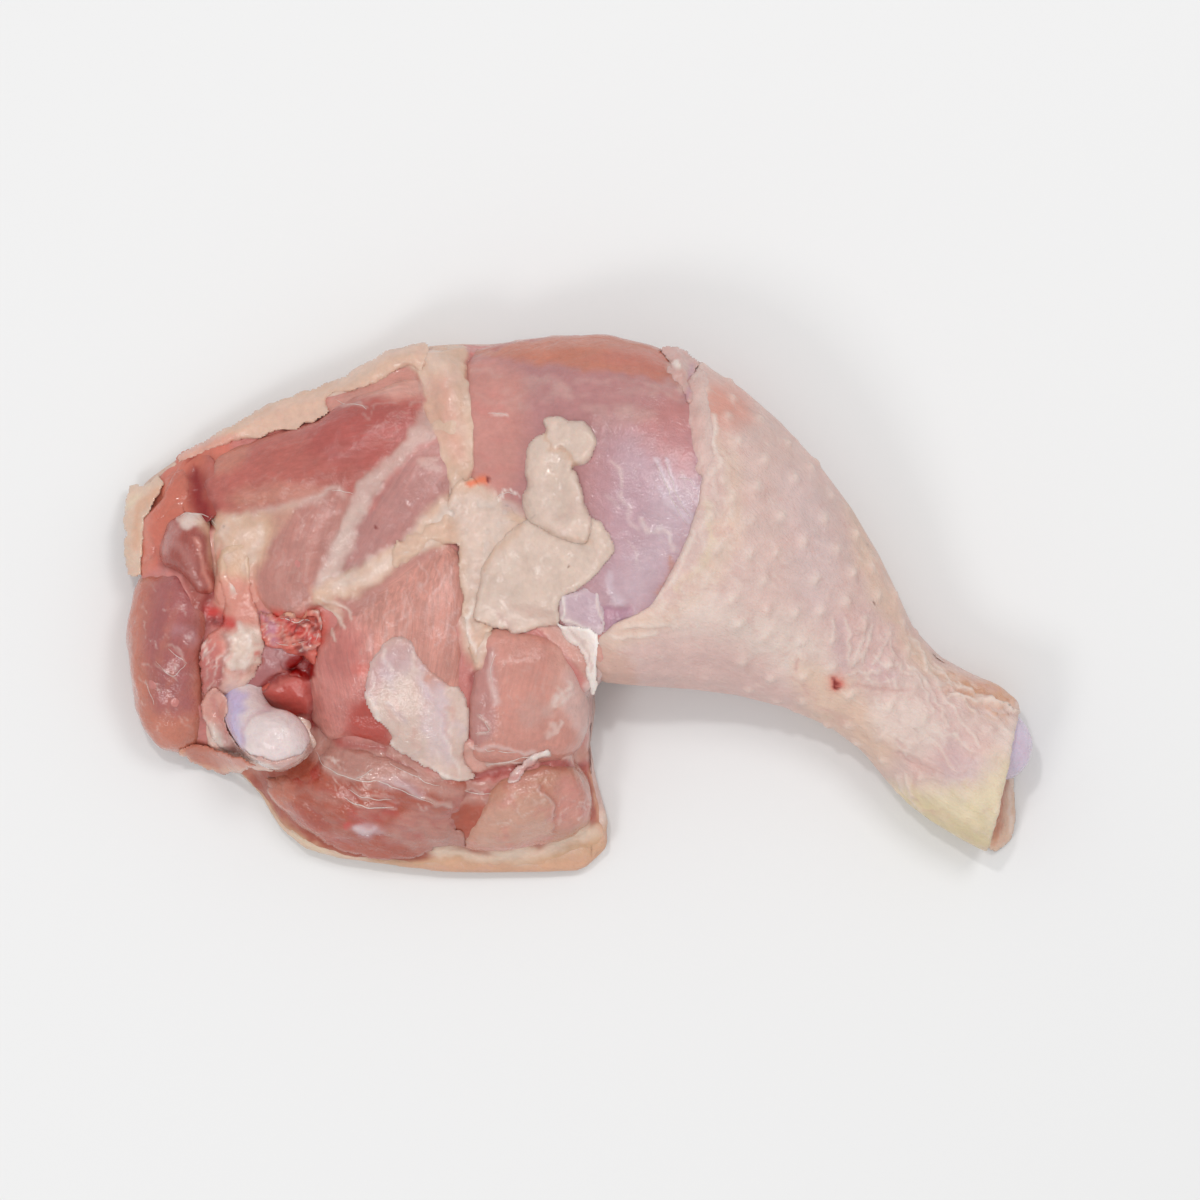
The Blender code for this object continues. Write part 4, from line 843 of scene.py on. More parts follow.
REAR_PAINT = [
    area("brown meat", 4.0, ((-54, -33), (-46, -36), (-36, -39.6), (-34, -44), (-36, -51), (-44, -51), (-54, -46), (-58, -40))),
    area("hip rim", 4.0, ((-67, -34), (-60, -34), (-57, -37), (-58, -43), (-63, -41)), 0.9),
    area("tan", 3.0, ((-54, -25), (-46, -28), (-37, -29.4), (-27, -35.4), (-15, -38), (-20, -40.4), (-32, -37.4), (-42, -35.6),
                      (-50, -33.4), (-53.6, -30))),
    area("tan", 3.5, ((-35, -42), (-27, -41), (-19, -40), (-22, -48), (-30, -49.6), (-37, -47)), 0.9),
    area("raw red", 2.4, ((-45, -41.4), (-41, -41.4), (-36.4, -40), (-35.6, -42.2), (-40, -43.6), (-45, -43.4)), 0.8, -0.25),
    area("raw red", 2.0, ((-58.6, -32.8), (-53, -31.4), (-51.8, -34.8), (-56, -35.8)), 0.85, -0.3),
    area("deep red meat", 3.0, ((-24, -39), (-15, -37.6), (-20, -43), (-24, -45)), 0.5),
    line("film", 1.0, 1.0, ((-52.6, -29.8), (-50.4, -32.4), (-46.6, -34.4), (-42, -35)), 0.7, 0.3),
    line("film", 0.8, 0.8, ((-42, -35), (-37, -36.2), (-33, -38), (-28.6, -39.8), (-25, -40)), 0.75, 0.35),
    line("film", 0.6, 0.6, ((-44, -34.8), (-42, -34), (-40.8, -33)), 0.5, 0.2),
    # A pale lavender streak over the rear muscle: painted highlight.
    line("pale lavender", 1.6, 2.4, ((-39, -36), (-35, -36.8), (-31, -38.4)), 0.5),
    line("film", 0.6, 0.8, ((-45.4, -37), (-42.6, -38.6), (-39.4, -39.2), (-37, -39)), 0.6, 0.3),
    line("film", 0.6, 0.8, ((-46.4, -38.8), (-43, -40.4), (-39.4, -40.7), (-36.6, -40.8)), 0.6, 0.35),
    area("bluish", 2.0, ((-44.6, -44.8), (-41.6, -44.2), (-38.4, -45.4), (-41, -46.8), (-44, -46.4)), 0.7),
    dab("blood", 0.8, 0.8, (-46, -44.4), 0.95),
    area("lavender film", 1.2, ((-44.4, -44.8), (-42, -44.2), (-40.6, -45.4), (-42, -46.4), (-44.2, -46)), 0.8),
    line("rose", 1.4, 3.0, ((-58, -41.6), (-52, -45.6), (-46, -47.4)), 0.35),
] + (scattered("deep red meat", 26, ((-62, -36), (-30, -40), (-22, -44), (-36, -50), (-54, -46)), 1.0, 6.0, -20, 0.5, -0.15, 33, 14)
     + scattered("tan", 20, ((-54, -30), (-28, -38), (-22, -46), (-40, -47), (-54, -40)), 1.2, 6.0, -20, 0.4, 0.15, 34, 14)
     + scattered("white film", 16, ((-54, -28), (-30, -37), (-34, -43), (-50, -36)), 0.16, 4.0, -24, 0.5, 0.1, 35, 20))

LOBE_PAINT = [
    area("lobe light", 3.0, ((-20, -43), (-16, -39.4), (-10, -37.6), (-5.6, -40), (-5, -44), (-8, -46.6), (-15, -47.8), (-20, -47)),
         0.7, 0.3),
    line("rose", 1.6, 2.2, ((-22, -49), (-18, -50), (-12, -49), (-6, -47.4)), 0.7),
    line("hip rim", 0.9, 1.0, ((-7, -36.6), (-5.2, -39), (-4.4, -42), (-4.8, -45.6)), 0.8, -0.5),
    line("pink skin", 0.6, 0.6, ((-7.6, -37), (-5.9, -39.4), (-5.1, -42)), 0.6, 0.2),
    line("red meat", 1.4, 2.0, ((-14, -36.6), (-8, -33.6), (-3, -32.6)), 0.5),
    area("pink meat", 4.0, ((-4, -35), (2, -36), (4, -42), (0, -44), (-4, -44)), 0.8),
] + (scattered("rose", 16, ((-20, -44), (-12, -36), (2, -36), (3, -44), (-10, -48)), 1.0, 5.0, 15, 0.4, -0.1, 36, 25)
     + scattered("white film", 14, ((-18, -44), (-12, -38), (0, -38), (0, -44)), 0.2, 3.0, 30, 0.5, 0.1, 37, 60))

LEFT_PAINT = [
    area("hip mauve", 5.0, ((-85, 4), (-79, 7), (-75, 0), (-75.6, -8), (-76.6, -16), (-77, -22), (-84, -22), (-86, -12), (-86.6, -3))),
    # Dark mauve down the lobe's right edge: painted shade.
    area("small lobe", 3.0, ((-78, -4), (-74.6, -3), (-75.6, -12), (-78, -12)), 0.6),
    line("bluish", 2.0, 3.0, ((-80, -5.6), (-77.4, -6.4), (-76.4, -8)), 0.3),
    line("film", 0.5, 0.6, ((-81, -8.6), (-79, -10.4), (-77.6, -12)), 0.6, 0.25),
    line("film", 0.5, 0.6, ((-84, -12), (-81.6, -14), (-79.4, -12.6)), 0.5, 0.25),
    area("hip rim", 4.0, ((-84, -24), (-78, -22), (-74, -25), (-77, -29), (-82, -29)), 0.8),
] + (scattered("white film", 26, ((-88, 3), (-78, 2), (-77.6, -24), (-86, -24)), 0.16, 2.6, -35, 0.45, 0.12, 7, 50)
     + scattered("hip rim", 14, ((-86, 3), (-78, 2), (-77.6, -24), (-85, -24)), 1.2, 5.0, 80, 0.35, 0.1, 8, 20))

SMALL_PAINT = [
    area("pale skin", 1.2, ((-79.6, 17.8), (-76, 18), (-74.2, 16.4), (-76.6, 15.2), (-78.6, 15.6)), 0.8, 0.2),
    line("film", 0.7, 0.6, ((-80, 17.4), (-77, 18), (-74, 17.2), (-71.6, 15.6)), 0.9, 0.3),
    line("warm fat", 2.0, 2.0, ((-74.8, 16), (-73, 12.6), (-72, 8)), 0.7),
    line("hip pink", 0.8, 0.9, ((-76.4, 13), (-74.4, 8), (-73, 2)), 0.6, 0.15),
    line("mauve meat", 2.4, 2.4, ((-82.4, 11), (-80.4, 15.4)), 0.8),
    line("mauve meat", 1.6, 2.0, ((-80, 12), (-77.4, 9), (-75.4, 4)), 0.5),
]

TENDON_PAINT = [
    area("hip pink", 3.0, ((-74, 6), (-64, 5), (-63.6, -4), (-69, -5), (-73, -2)), 1.0),
    line("hip pink", 2.2, 3.4, ((-68, 4), (-67.8, 0), (-67, -3)), 0.7, 0.1),
    area("warm fat", 5.0, ((-74, 14), (-64, 14), (-64.6, 6), (-72, 6)), 1.0),
    dab("pale fat", 1.1, 1.4, (-68, 3), 0.9, 0.3),
    area("cream", 2.4, ((-69, -5.4), (-64, -4.8), (-62.6, -9), (-64, -13), (-69, -13.6)), 0.8),
    area("tissue", 2.0, ((-77, -4), (-71.4, -4), (-70, -8), (-70.6, -12), (-72, -16), (-76.6, -17)), 0.75),
    area("rosy meat", 3.0, ((-77, -9), (-71, -10), (-70.6, -18), (-76, -20)), 0.85),
    # Near-black red in the groove beside the knob: painted shade.
    line("crease shade", 0.9, 1.2, ((-69.9, -5.6), (-69.6, -9), (-70.4, -13), (-71.6, -16.4)), 0.5, -0.6),
    dab("dark blood", 0.4, 0.6, (-73.8, -10.8), 0.7),
    dab("blood", 0.5, 0.8, (-63.6, -10.2), 0.6),
    dab("speck", 0.35, 0.5, (-71, -16.6), 0.6),
    dab("dark blood", 0.3, 0.5, (-72, -12.2), 0.6),
    line("orange skin", 1.0, 1.2, ((-70, -13.4), (-66.6, -13.8), (-64.6, -12.8)), 0.6, -0.4),
    line("blood", 2.4, 2.0, ((-73, -1), (-71.6, -3.4), (-69, -4.6)), 0.95),
    dab("dark blood", 1.0, 1.4, (-71.6, -3.9), 0.9),
] + (scattered("pale skin", 22, ((-75, -9), (-70.6, -9), (-71, -17), (-75, -17.6)), 0.25, 2.6, 75, 0.6, 0.15, 1)
     + scattered("tissue", 10, ((-70, -4), (-64, -4), (-64, -13), (-70, -14)), 0.4, 2.2, 60, 0.35, -0.15, 2, 60)
     + scattered("white film", 18, ((-69, -4.6), (-64, -5), (-63.6, -12), (-69.4, -12.6)), 0.7, 1.2, 40, 0.5, 0.2, 3, 90))

TORN_PAINT = [
    line("blood", 1.6, 1.4, ((-60.4, -3.4), (-57.5, -4.6), (-54.4, -6.8), (-52, -6.4)), 0.9),
    line("blood", 1.2, 1.2, ((-54.6, -9.4), (-53.4, -7.6)), 0.9),
    dab("dark blood", 1.2, 1.4, (-54.4, -9), 0.9, -0.4),
    line("vein", 1.8, 1.2, ((-62.6, -2.4), (-61.2, -5), (-60.6, -7.6)), 0.9),
    line("peach", 1.4, 1.2, ((-63, -1.6), (-58, -2.2), (-54.6, -3.0)), 0.8, 0.3),
    line("pale fat", 0.8, 0.8, ((-53, -1.6), (-51.6, -2.4), (-51, -4)), 0.8, 0.2),
] + (scattered("pale skin", 24, ((-63, -1), (-56, -2), (-49, 0), (-50, -8), (-55, -10), (-61, -9)), 0.22, 3.6, -22, 0.7, 0.25, 4, 30)
     + scattered("dark blood", 24, ((-61, -3), (-53, -3), (-51, -7), (-54, -10), (-58, -8)), 0.5, 2.4, -30, 0.8, -0.35, 5, 50)
     + scattered("hip pink", 22, ((-63, -1), (-56, -2), (-50, 0), (-50, -8), (-55, -10), (-61, -9)), 0.6, 3.0, -15, 0.7, 0.2, 6, 50))

KNOB_PAINT = [
    dab("cream", 2.4, 2.6, (-66, -7.6), 0.8),
    line("hip pink", 0.8, 0.9, ((-69.6, -8), (-69.4, -12), (-70.4, -15)), 0.6, -0.3),
    dab("tissue", 0.8, 1.0, (-63.8, -10), 0.5),
    line("orange skin", 1.0, 1.4, ((-69.6, -13.6), (-66.6, -14.4)), 0.4, -0.2),
] + HIP_BLOOD

CAPSULE_PAINT = [
    area("tissue", 2.4, ((-74.6, -5), (-71, -4), (-69.4, -8), (-70.8, -12), (-75, -11)), 0.9),
    area("rosy meat", 2.0, ((-75.6, -10), (-71, -10), (-70.4, -17), (-74, -18)), 0.9),
    dab("dark blood", 0.5, 0.7, (-73.8, -10.8), 0.6),
    dab("dark blood", 0.4, 0.6, (-72, -12), 0.6),
    dab("speck", 0.4, 0.5, (-71, -16.6), 0.7),
    area("orange skin", 2.0, ((-74.6, -20), (-70.6, -20), (-69.4, -26), (-71, -28.6), (-74.4, -25)), 0.7),
    dab("blood", 0.8, 1.4, (-70, -25.4), 0.5),
    line("pale skin", 0.8, 0.8, ((-74.4, -24), (-71.6, -28.2), (-67, -30.6), (-63, -31.6), (-58, -32.4)), 0.8, 0.2),
] + HIP_BLOOD

SKIN_PAINT = [
    # the thigh's rim
    area("strip", 5.0, ((-68, -32), (-50, -44), (-20, -46), (6, -42), (12, -56), (-20, -60), (-50, -58), (-70, -46)), 0.9),
    area("skin fat", 4.0, ((-66, -38), (-60, -43), (-52, -47.4), (-42, -50.6), (-44, -52.6), (-54, -51), (-64, -46)), 0.9),
    line("yellow skin", 1.6, 3.0, ((-58, -46.6), (-52, -50)), 0.5),
    line("pale skin", 2.6, 3.0, ((-30, -50.4), (-24, -50), (-10, -50.4), (0, -47), (5, -43)), 0.8, 0.3),
    line("peach", 2.0, 2.0, ((-34, -53.2), (-16, -53.4), (0, -53.4), (6, -50)), 0.7),
    area("margin", 5.0, ((-92, 10), (-96, 26), (-70, 44), (-40, 56), (-24, 56), (-24, 46), (-46, 42), (-70, 30), (-84, 24))),
    dab("warm skin", 3.4, 3.0, (-88.6, 20.6), 0.8),
    # the drumstick
    area("orange skin", 7.0, ((24, 42), (27, 44), (32, 42), (34, 37), (30, 34.6), (25, 35.6)), 0.85),
    area("skin fat", 4.0, ((24, 34), (27, 33), (29, 24), (27, 14), (23, 5), (18, 0), (12, -2), (5, -6), (6, -9), (14, -6.5),
                           (22, -2), (29, 6), (33, 18), (30, 32)), 0.6),
    line("pale skin", 1.0, 1.0, ((26.6, 37), (27.4, 32), (28.6, 28), (29, 24)), 0.8, 0.35),
    line("yellow skin", 1.4, 2.0, ((25.6, 19), (26.4, 13), (25, 8), (20, 3)), 0.5, 0.2),
    line("pale skin", 0.8, 0.8, ((15.4, 0.6), (17, 2.6), (19.6, 5), (21, 9), (22.6, 14)), 0.7, 0.2),
    area("pale skin", 9.0, ((24, 2), (34, 0), (44, -4), (50, -10), (46, -15), (38, -12), (28, -6), (20, -5)), 0.7),
    area("pale skin", 6.0, ((34, -8), (48, -11), (55, -18), (48, -22), (38, -14)), 0.6),
    area("warm skin", 6.0, ((44, -12), (52, -14), (58, -20), (64, -28), (60, -33), (52, -26), (44, -20)), 0.8),
    area("pink skin", 8.0, ((12, -9), (26, -8), (38, -13), (46, -18), (40, -22), (20, -19), (6, -17)), 0.7),
    area("brown skin", 2.4, ((4, -9), (7, -8.6), (11, -12), (11, -16.6), (3.6, -17)), 0.35),
    area("lavender skin", 7.0, ((40, 26), (48, 24), (52, 10), (50, -2), (44, 0), (42, 12)), 0.6),
    area("warm skin", 4.0, ((54, 20), (58, 14), (62, 6), (65, -2), (62, -4), (58, 2), (55, 10)), 0.7),
    area("pink skin", 5.0, ((50, -2), (54, 0), (60, -2), (64, -8), (62, -15), (54, -13), (51, -8)), 0.8),
    line("mauve skin", 2.4, 3.0, ((52, -4), (52, -9), (52.4, -13)), 0.5),
    area("mauve skin", 3.0, ((58, -12), (63, -12.6), (64, -15), (60, -15.6)), 0.7),
    area("warm skin", 3.4, ((64, -2), (68, -8), (76, -14), (88, -18), (86, -21), (76, -18), (66, -11)), 0.8),
    area("brown skin", 3.0, ((77, -15), (84, -16), (88, -19), (84, -20), (76, -19)), 0.75),
    area("pink skin", 5.0, ((70, -18), (76, -21), (78, -27), (74, -30), (68, -24)), 0.6),
    area("mauve skin", 6.0, ((72, -28), (77, -29), (77, -34), (73, -35)), 0.75),
    area("pale lavender", 4.0, ((76, -33), (82, -31), (84, -33), (78, -37), (73, -36)), 0.5),
    area("pale skin", 5.0, ((60, -18), (70, -22), (72, -27), (66, -29), (58, -24)), 0.6),
    area("yellow skin", 8.0, ((84, -30), (89, -33), (85, -46), (80, -51), (70, -45), (62, -37), (70, -37), (78, -36), (82, -33)), 0.95),
    area("yellow scale", 4.0, ((66, -38), (74, -42), (82, -46), (84, -50), (74, -48), (64, -42)), 0.75),
    area("pale skin", 3.0, ((80, -22), (86, -22.5), (88.6, -26), (87.6, -31), (85, -29), (82, -25)), 0.6),
    dab("orange skin", 1.8, 3.0, (51.4, -15.2), 0.9),
    line("blood", 1.3, 1.4, ((51, -14.6), (51.6, -15.4), (51.5, -16)), 0.6),
    line("dark blood", 0.5, 0.5, ((50.9, -14.4), (51.5, -15.3), (51.2, -15.9), (51.8, -16.3))),
    dab("speck", 0.28, 0.3, (59.3, 0.1), 0.8),
] + (scattered("brown skin", 30, ((74, -13), (88, -18), (90, -24), (84, -24), (72, -17)), 0.45, 3.4, -20, 0.7, 0.4, 22, 35)
     # Sunk near-black marks in the hock's wrinkles: painted shade.
     + scattered("crease shade", 10, ((80, -16), (88, -19), (89, -23), (80, -20)), 0.3, 2.0, -20, 0.35, -0.1, 23, 40)
     + scattered("pale skin", 46, ((62, -8), (74, -15), (82, -24), (76, -32), (62, -26), (54, -18)), 0.5, 6.0, -42, 0.55, 0.3, 24, 20)
     + scattered("yellow scale", 20, ((66, -38), (84, -36), (84, -46), (76, -48)), 0.8, 3.0, -60, 0.4, 0.15, 25, 40)
     + scattered("rosy skin", 24, ((30, 40), (60, 8), (62, -8), (30, 0)), 1.0, 4.0, -50, 0.3, 0.0, 26, 40)
     + scattered("pale skin", 26, ((24, 30), (30, 30), (32, 10), (22, -2), (14, -4), (24, 10)), 0.7, 6.0, 75, 0.5, 0.15, 27, 18))

FOLD_ANGLE = math.radians(-52)
FOLD_TURN = np.array(((math.cos(FOLD_ANGLE), -math.sin(FOLD_ANGLE), 0), (math.sin(FOLD_ANGLE), math.cos(FOLD_ANGLE), 0), (0, 0, 1)))

# Raised skin folds are painted pale along their crests, as painted highlights, and sunk folds are painted rosy, as
# painted shade.
SKIN_FOLDS = [
    line("pale skin", 0.6, 0.8, ((50.6, -3), (51, -6), (51, -8)), 0.7, 0.43),
    line("pale skin", 0.6, 0.8, ((53, -3), (53.8, -6), (54, -9), (53.8, -12)), 0.7, 0.50),
    line("pale skin", 0.6, 0.8, ((57.6, -3), (56.8, -7), (55.4, -10), (54.6, -12.4)), 0.7, 0.50),
    line("pale skin", 0.6, 0.8, ((58.8, -4), (57.6, -8), (56.8, -12)), 0.7, 0.43),
    line("pale skin", 0.6, 0.8, ((61.8, -7.6), (60.4, -9.4), (59, -11.6)), 0.7, 0.50),
    line("pale skin", 0.6, 0.8, ((62.6, -8), (63.2, -10.6)), 0.7, 0.36),
    line("pale skin", 0.6, 0.8, ((60, -12.6), (57, -14), (53.6, -14)), 0.7, 0.43),
    line("pale skin", 0.6, 0.8, ((63, -12), (66.6, -14.4), (69, -18), (70.6, -21.6)), 0.7, 0.50),
    line("pale skin", 0.6, 0.8, ((66, -12.4), (69, -15.6), (72, -20.4), (74, -24.6)), 0.7, 0.50),
    line("pale skin", 0.6, 0.8, ((68.8, -10), (70, -13.4), (72.6, -18), (75, -22), (78.6, -26), (80, -28)), 0.7, 0.58),
    line("pale skin", 0.6, 0.8, ((72, -12), (74, -16.4), (77.6, -20.4), (80, -22)), 0.7, 0.50),
    line("pale skin", 0.6, 0.8, ((76, -15.6), (79.6, -18.6), (84.4, -20), (88, -22)), 0.7, 0.58),
    line("pale skin", 0.6, 0.8, ((82.4, -24.6), (85, -25.4), (87, -26.6)), 0.7, 0.36),
    line("rosy skin", 0.7, 0.9, ((64, -30), (67.6, -32), (70.4, -33.6)), 0.7, -0.45),
    line("pale skin", 0.6, 0.8, ((64.2, -34), (65.4, -38), (67.6, -40.6)), 0.7, 0.50),
    line("pale skin", 0.6, 0.8, ((66, -34), (66.4, -37), (67.2, -39)), 0.7, 0.36),
    line("rosy skin", 0.7, 0.9, ((54, -16.4), (60, -17), (66, -17.4)), 0.7, -0.32),
    line("pale skin", 0.6, 0.8, ((9, -5), (14, -4.4), (20, -4.6)), 0.7, 0.43),
    line("pale skin", 0.6, 0.8, ((6, -6.4), (10, -6.6), (16, -6)), 0.7, 0.43),
    line("rosy skin", 0.7, 0.9, ((44, -11.6), (43.8, -13)), 0.7, -0.38),
    line("pale skin", 0.8, 0.8, ((74, -18.6), (79, -19.4), (84, -20), (89, -22.4)), 0.9, 0.7),
    line("pale skin", 0.6, 0.7, ((66, -7), (69.6, -11), (74, -15.6), (79, -17.6)), 0.7, 0.5),
    line("pale skin", 0.6, 0.7, ((60, -19), (65, -23), (71, -28), (75, -33)), 0.4, 0.3),
    line("rosy skin", 0.7, 0.9, ((64, -27), (67, -30.4), (71, -33)), 0.6, -0.4),
]


# ---------------------------------------------------------------- the leg's pieces


def muscle(node, base, strokes, material, angle, lumps=0.2, relief=1.0, stripe=1.0, replaced=None, base_cut=-2.0,
           **how):
    """A muscle grown from its CAD node, with low swellings."""
    nodes = replaced or [node]
    points, quads = organ(nodes, **how)
    points, quads = cut_out(points, quads, normals(points, quads)[:, 2] > base_cut)
    points = points + normals(points, quads) * (lumps * fractal(points, 7.0, 3))[:, None]
    return dressed(node + "_look", points, quads, base, strokes, material, angle, nodes, relief,
                   stripe)


def build_connective(wet):
    """The tissue between the muscles, which fills their creases to just under their tops."""
    loose = ("tibia", "fat_flap", "fat_curl", "membrane", "femur")
    names = [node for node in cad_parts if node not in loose]
    points, quads = organ(names, voxel=0.47, fill=5.0, swell=-0.15, rounds=12, end=8)
    out = normals(points, quads)
    points, quads = cut_out(points, quads, (out[:, 2] > -0.1) & (points[:, 0] < 3 + 4 * (points[:, 1] < -5)))
    points = points + normals(points, quads) * (0.25 * fractal(points, 5.0, 9))[:, None]
    dressed("connective_tissue", points, quads, "rose", JOINING_PAINT, wet, front_grain, stripe=0.4)


def front_grain(points):
    """Fibre direction over the front of the thigh, in degrees: along each muscle."""
    places = points[:, :2]
    angle = np.full(len(points), 8.0)
    for value, loop in ((58.0, ((-27, 36), (-40, 24), (-49, 5), (-40, 6), (-24, 20))),
                        (70.0, ((-62, 17), (-46, 22), (-52, -2), (-64, -3), (-66, 5))),
                        (84.0, ((-24, 14), (-36, 5), (-50, -6), (-56, -16), (-54, -30), (-18, -30), (-20, 8)))):
        angle += coverage(places, area(None, 3.0, loop)) * (value - angle)
    return angle + 0.5 * np.clip(-places[:, 0] - 26, 0, 30) * (places[:, 1] < 4)


def build_muscles(wet, raw):
    front = ["front_muscle", "middle_muscle", "strap_muscle", "inner_muscle", "upper_seam_fat", "lower_seam_fat",
             "band_fat", "hip_fat"]
    muscle("middle_muscle", "pale meat", FRONT_PAINT, wet, front_grain, replaced=front, fill=2.4, swell=0.5, voxel=0.4,
           rounds=26, base_cut=-0.3)
    muscle("drumstick_meat", "calf", CALF_PAINT, wet, -8, lumps=0.12, swell=1.05, voxel=0.6, stripe=0.3)
    muscle("block_muscle", "salmon", BLOCK_PAINT, wet, 86, swell=0.5, voxel=0.45, stripe=0.35)
    muscle("rear_muscle", "brown meat", REAR_PAINT, raw, -14, swell=0.5, voxel=0.5, lumps=0.35, stripe=0.7)
    muscle("rear_lobe", "lobe", LOBE_PAINT, raw, 20, swell=0.5, voxel=0.45, lumps=0.35, stripe=0.5)
    muscle("hip_lobe", "hip rim", LEFT_PAINT, raw, 84, swell=0.5, voxel=0.5, lumps=0.3, stripe=0.6)
    muscle("hip_small_lobe", "small lobe", SMALL_PAINT, raw, 80, swell=1.3, voxel=0.45)
    muscle("hip_edge_muscle", "edge meat", EDGE_PAINT, raw, 60, swell=0.15, voxel=0.45, rounds=30, stripe=0.5)
    muscle("hip_red_muscle", "tissue", HIP_BLOOD, raw, 20, swell=0.5, voxel=0.4)
    muscle("hip_band_muscle", "hip band", HIP_BLOOD, raw, 40, swell=0.4, voxel=0.4)


def build_hip(wet, raw, gristle):
    muscle("hip_capsule", "knob", CAPSULE_PAINT, raw, 30, lumps=0.5, swell=0.4, voxel=0.4, fill=0.8)
    muscle("hip_tendon", "knob", KNOB_PAINT, raw, 60, lumps=0.35, swell=0.5, voxel=0.4)
    tendon = ((-72, 6), (-71.4, 11), (-66, 12), (-65.2, 6), (-64.6, 1), (-63, -5), (-62.4, -9.4), (-64, -13.4), (-66.4, -16.6), (-68, -18.6), (-71, -18.8), (-74.4, -19),
              (-75.6, -13), (-75, -9), (-72.8, -5.4), (-70.6, -3.6), (-71, 1))
    points, quads = sheet(tendon, 1.3, 3.0, ragged=0.35, lip=lambda p: -0.1 - 0.8 * ease(-3, 4, p[:, 1]), seed=80, bridge=26, step=0.4,
                          lump=lambda p: (0.5 * flat_noise(p, 4.2, 81) + 0.3 * flat_noise(p, 1.5, 82)
                                          - 2.4 * ease(-2, 6, p[:, 1]) - 0.5 * ease(-12, -15, p[:, 1])))
    dressed("hip_tendon_sheath", points, quads, "knob", TENDON_PAINT, raw, 84, stripe=0.3)
    torn = ((-63.8, -1.2), (-60, -2.2), (-56, -2.4), (-53, -1.2), (-51.2, -1.6), (-50.4, -3.6), (-50.6, -6.4), (-51.4, -9), (-52.6, -12),
            (-55, -11), (-57.6, -9.6), (-61, -9.4), (-63, -6))
    points, quads = sheet(torn, 0.9, 1.8, ragged=0.7, lip=-0.2, seed=84, bridge=20, step=0.35,
                          lump=lambda p: 0.7 * np.abs(flat_noise(p, (3.0, 1.1, 1), 85)) + 0.3 * flat_noise(p, 0.9, 86))
    dressed("torn_tissue", points, quads, "tissue", TORN_PAINT, raw, -30, stripe=0.4)
    ends = [area("blue cartilage", 3.0, ((-71, -17), (-65.6, -18), (-67.2, -23), (-67, -28), (-71, -30))),
            # Mauve red sunk between the femur's head and its neck: painted shade.
            line("vein", 0.7, 1.2, ((-65.6, -31), (-67.2, -27.4), (-66.2, -23.6), (-63, -21.4), (-59, -20.4)), 0.35, -0.7),
            line("pale lavender", 1.0, 1.4, ((-69.6, -20), (-69.8, -24), (-68.8, -27)), 0.8)]
    points, quads = organ(["femur"], voxel=0.6, fill=0.6, swell=0.45)
    middle, turn = np.array((-60.3, -26.8)), math.radians(-25)
    axes = np.array(((math.cos(turn), math.sin(turn)), (-math.sin(turn), math.cos(turn))))
    head = np.exp(-(((points[:, :2] - middle) ** 2).sum(1) / 90))[:, None]
    arm = (points[:, :2] - middle) @ axes.T
    points[:, :2] += head * ((arm * (0.17, -0.06)) @ axes)
    dressed("femur_look", points, quads, "cartilage", ends, gristle, 0, ["femur"])
    rim = ((-75.4, -20), (-74.6, -25), (-71.4, -29), (-67, -31), (-63.4, -31.6), (-61.6, -33.2), (-58, -33.4), (-55, -31.8),
           (-53, -29.4), (-53.6, -27.6), (-55.6, -29.8), (-60, -31.4), (-64.6, -30), (-68.2, -27.8), (-70.2, -24), (-70.4, -19),
           (-73, -17))
    points, quads = sheet(rim, 0.9, 1.0, ragged=0.35, lip=0.3, seed=88, bridge=10, step=0.35, fall=9,
                          lump=lambda p: 0.3 * flat_noise(p, 1.8, 89))
    dressed("capsule_rim", points, quads, "rosy skin", [
        line("pale skin", 1.1, 1.0, ((-75, -23), (-71.6, -28.8), (-67, -30.8), (-62, -32.4), (-57, -32.8), (-54, -30.6)), 0.95),
        area("hip pink", 1.6, ((-76, -18), (-71, -17), (-70, -22), (-71, -26), (-75, -24)), 0.6),
        line("rose", 1.0, 1.2, ((-72.6, -19), (-71.6, -24), (-70.6, -26.6)), 0.6, -0.2),
        dab("blood", 0.6, 1.2, (-70.8, -25.6), 0.6)], raw, 30, stripe=0.2)
    muscle("tibia", "end cartilage", [], gristle, 0, lumps=0.15, swell=0.3, voxel=0.55, fill=0.6)


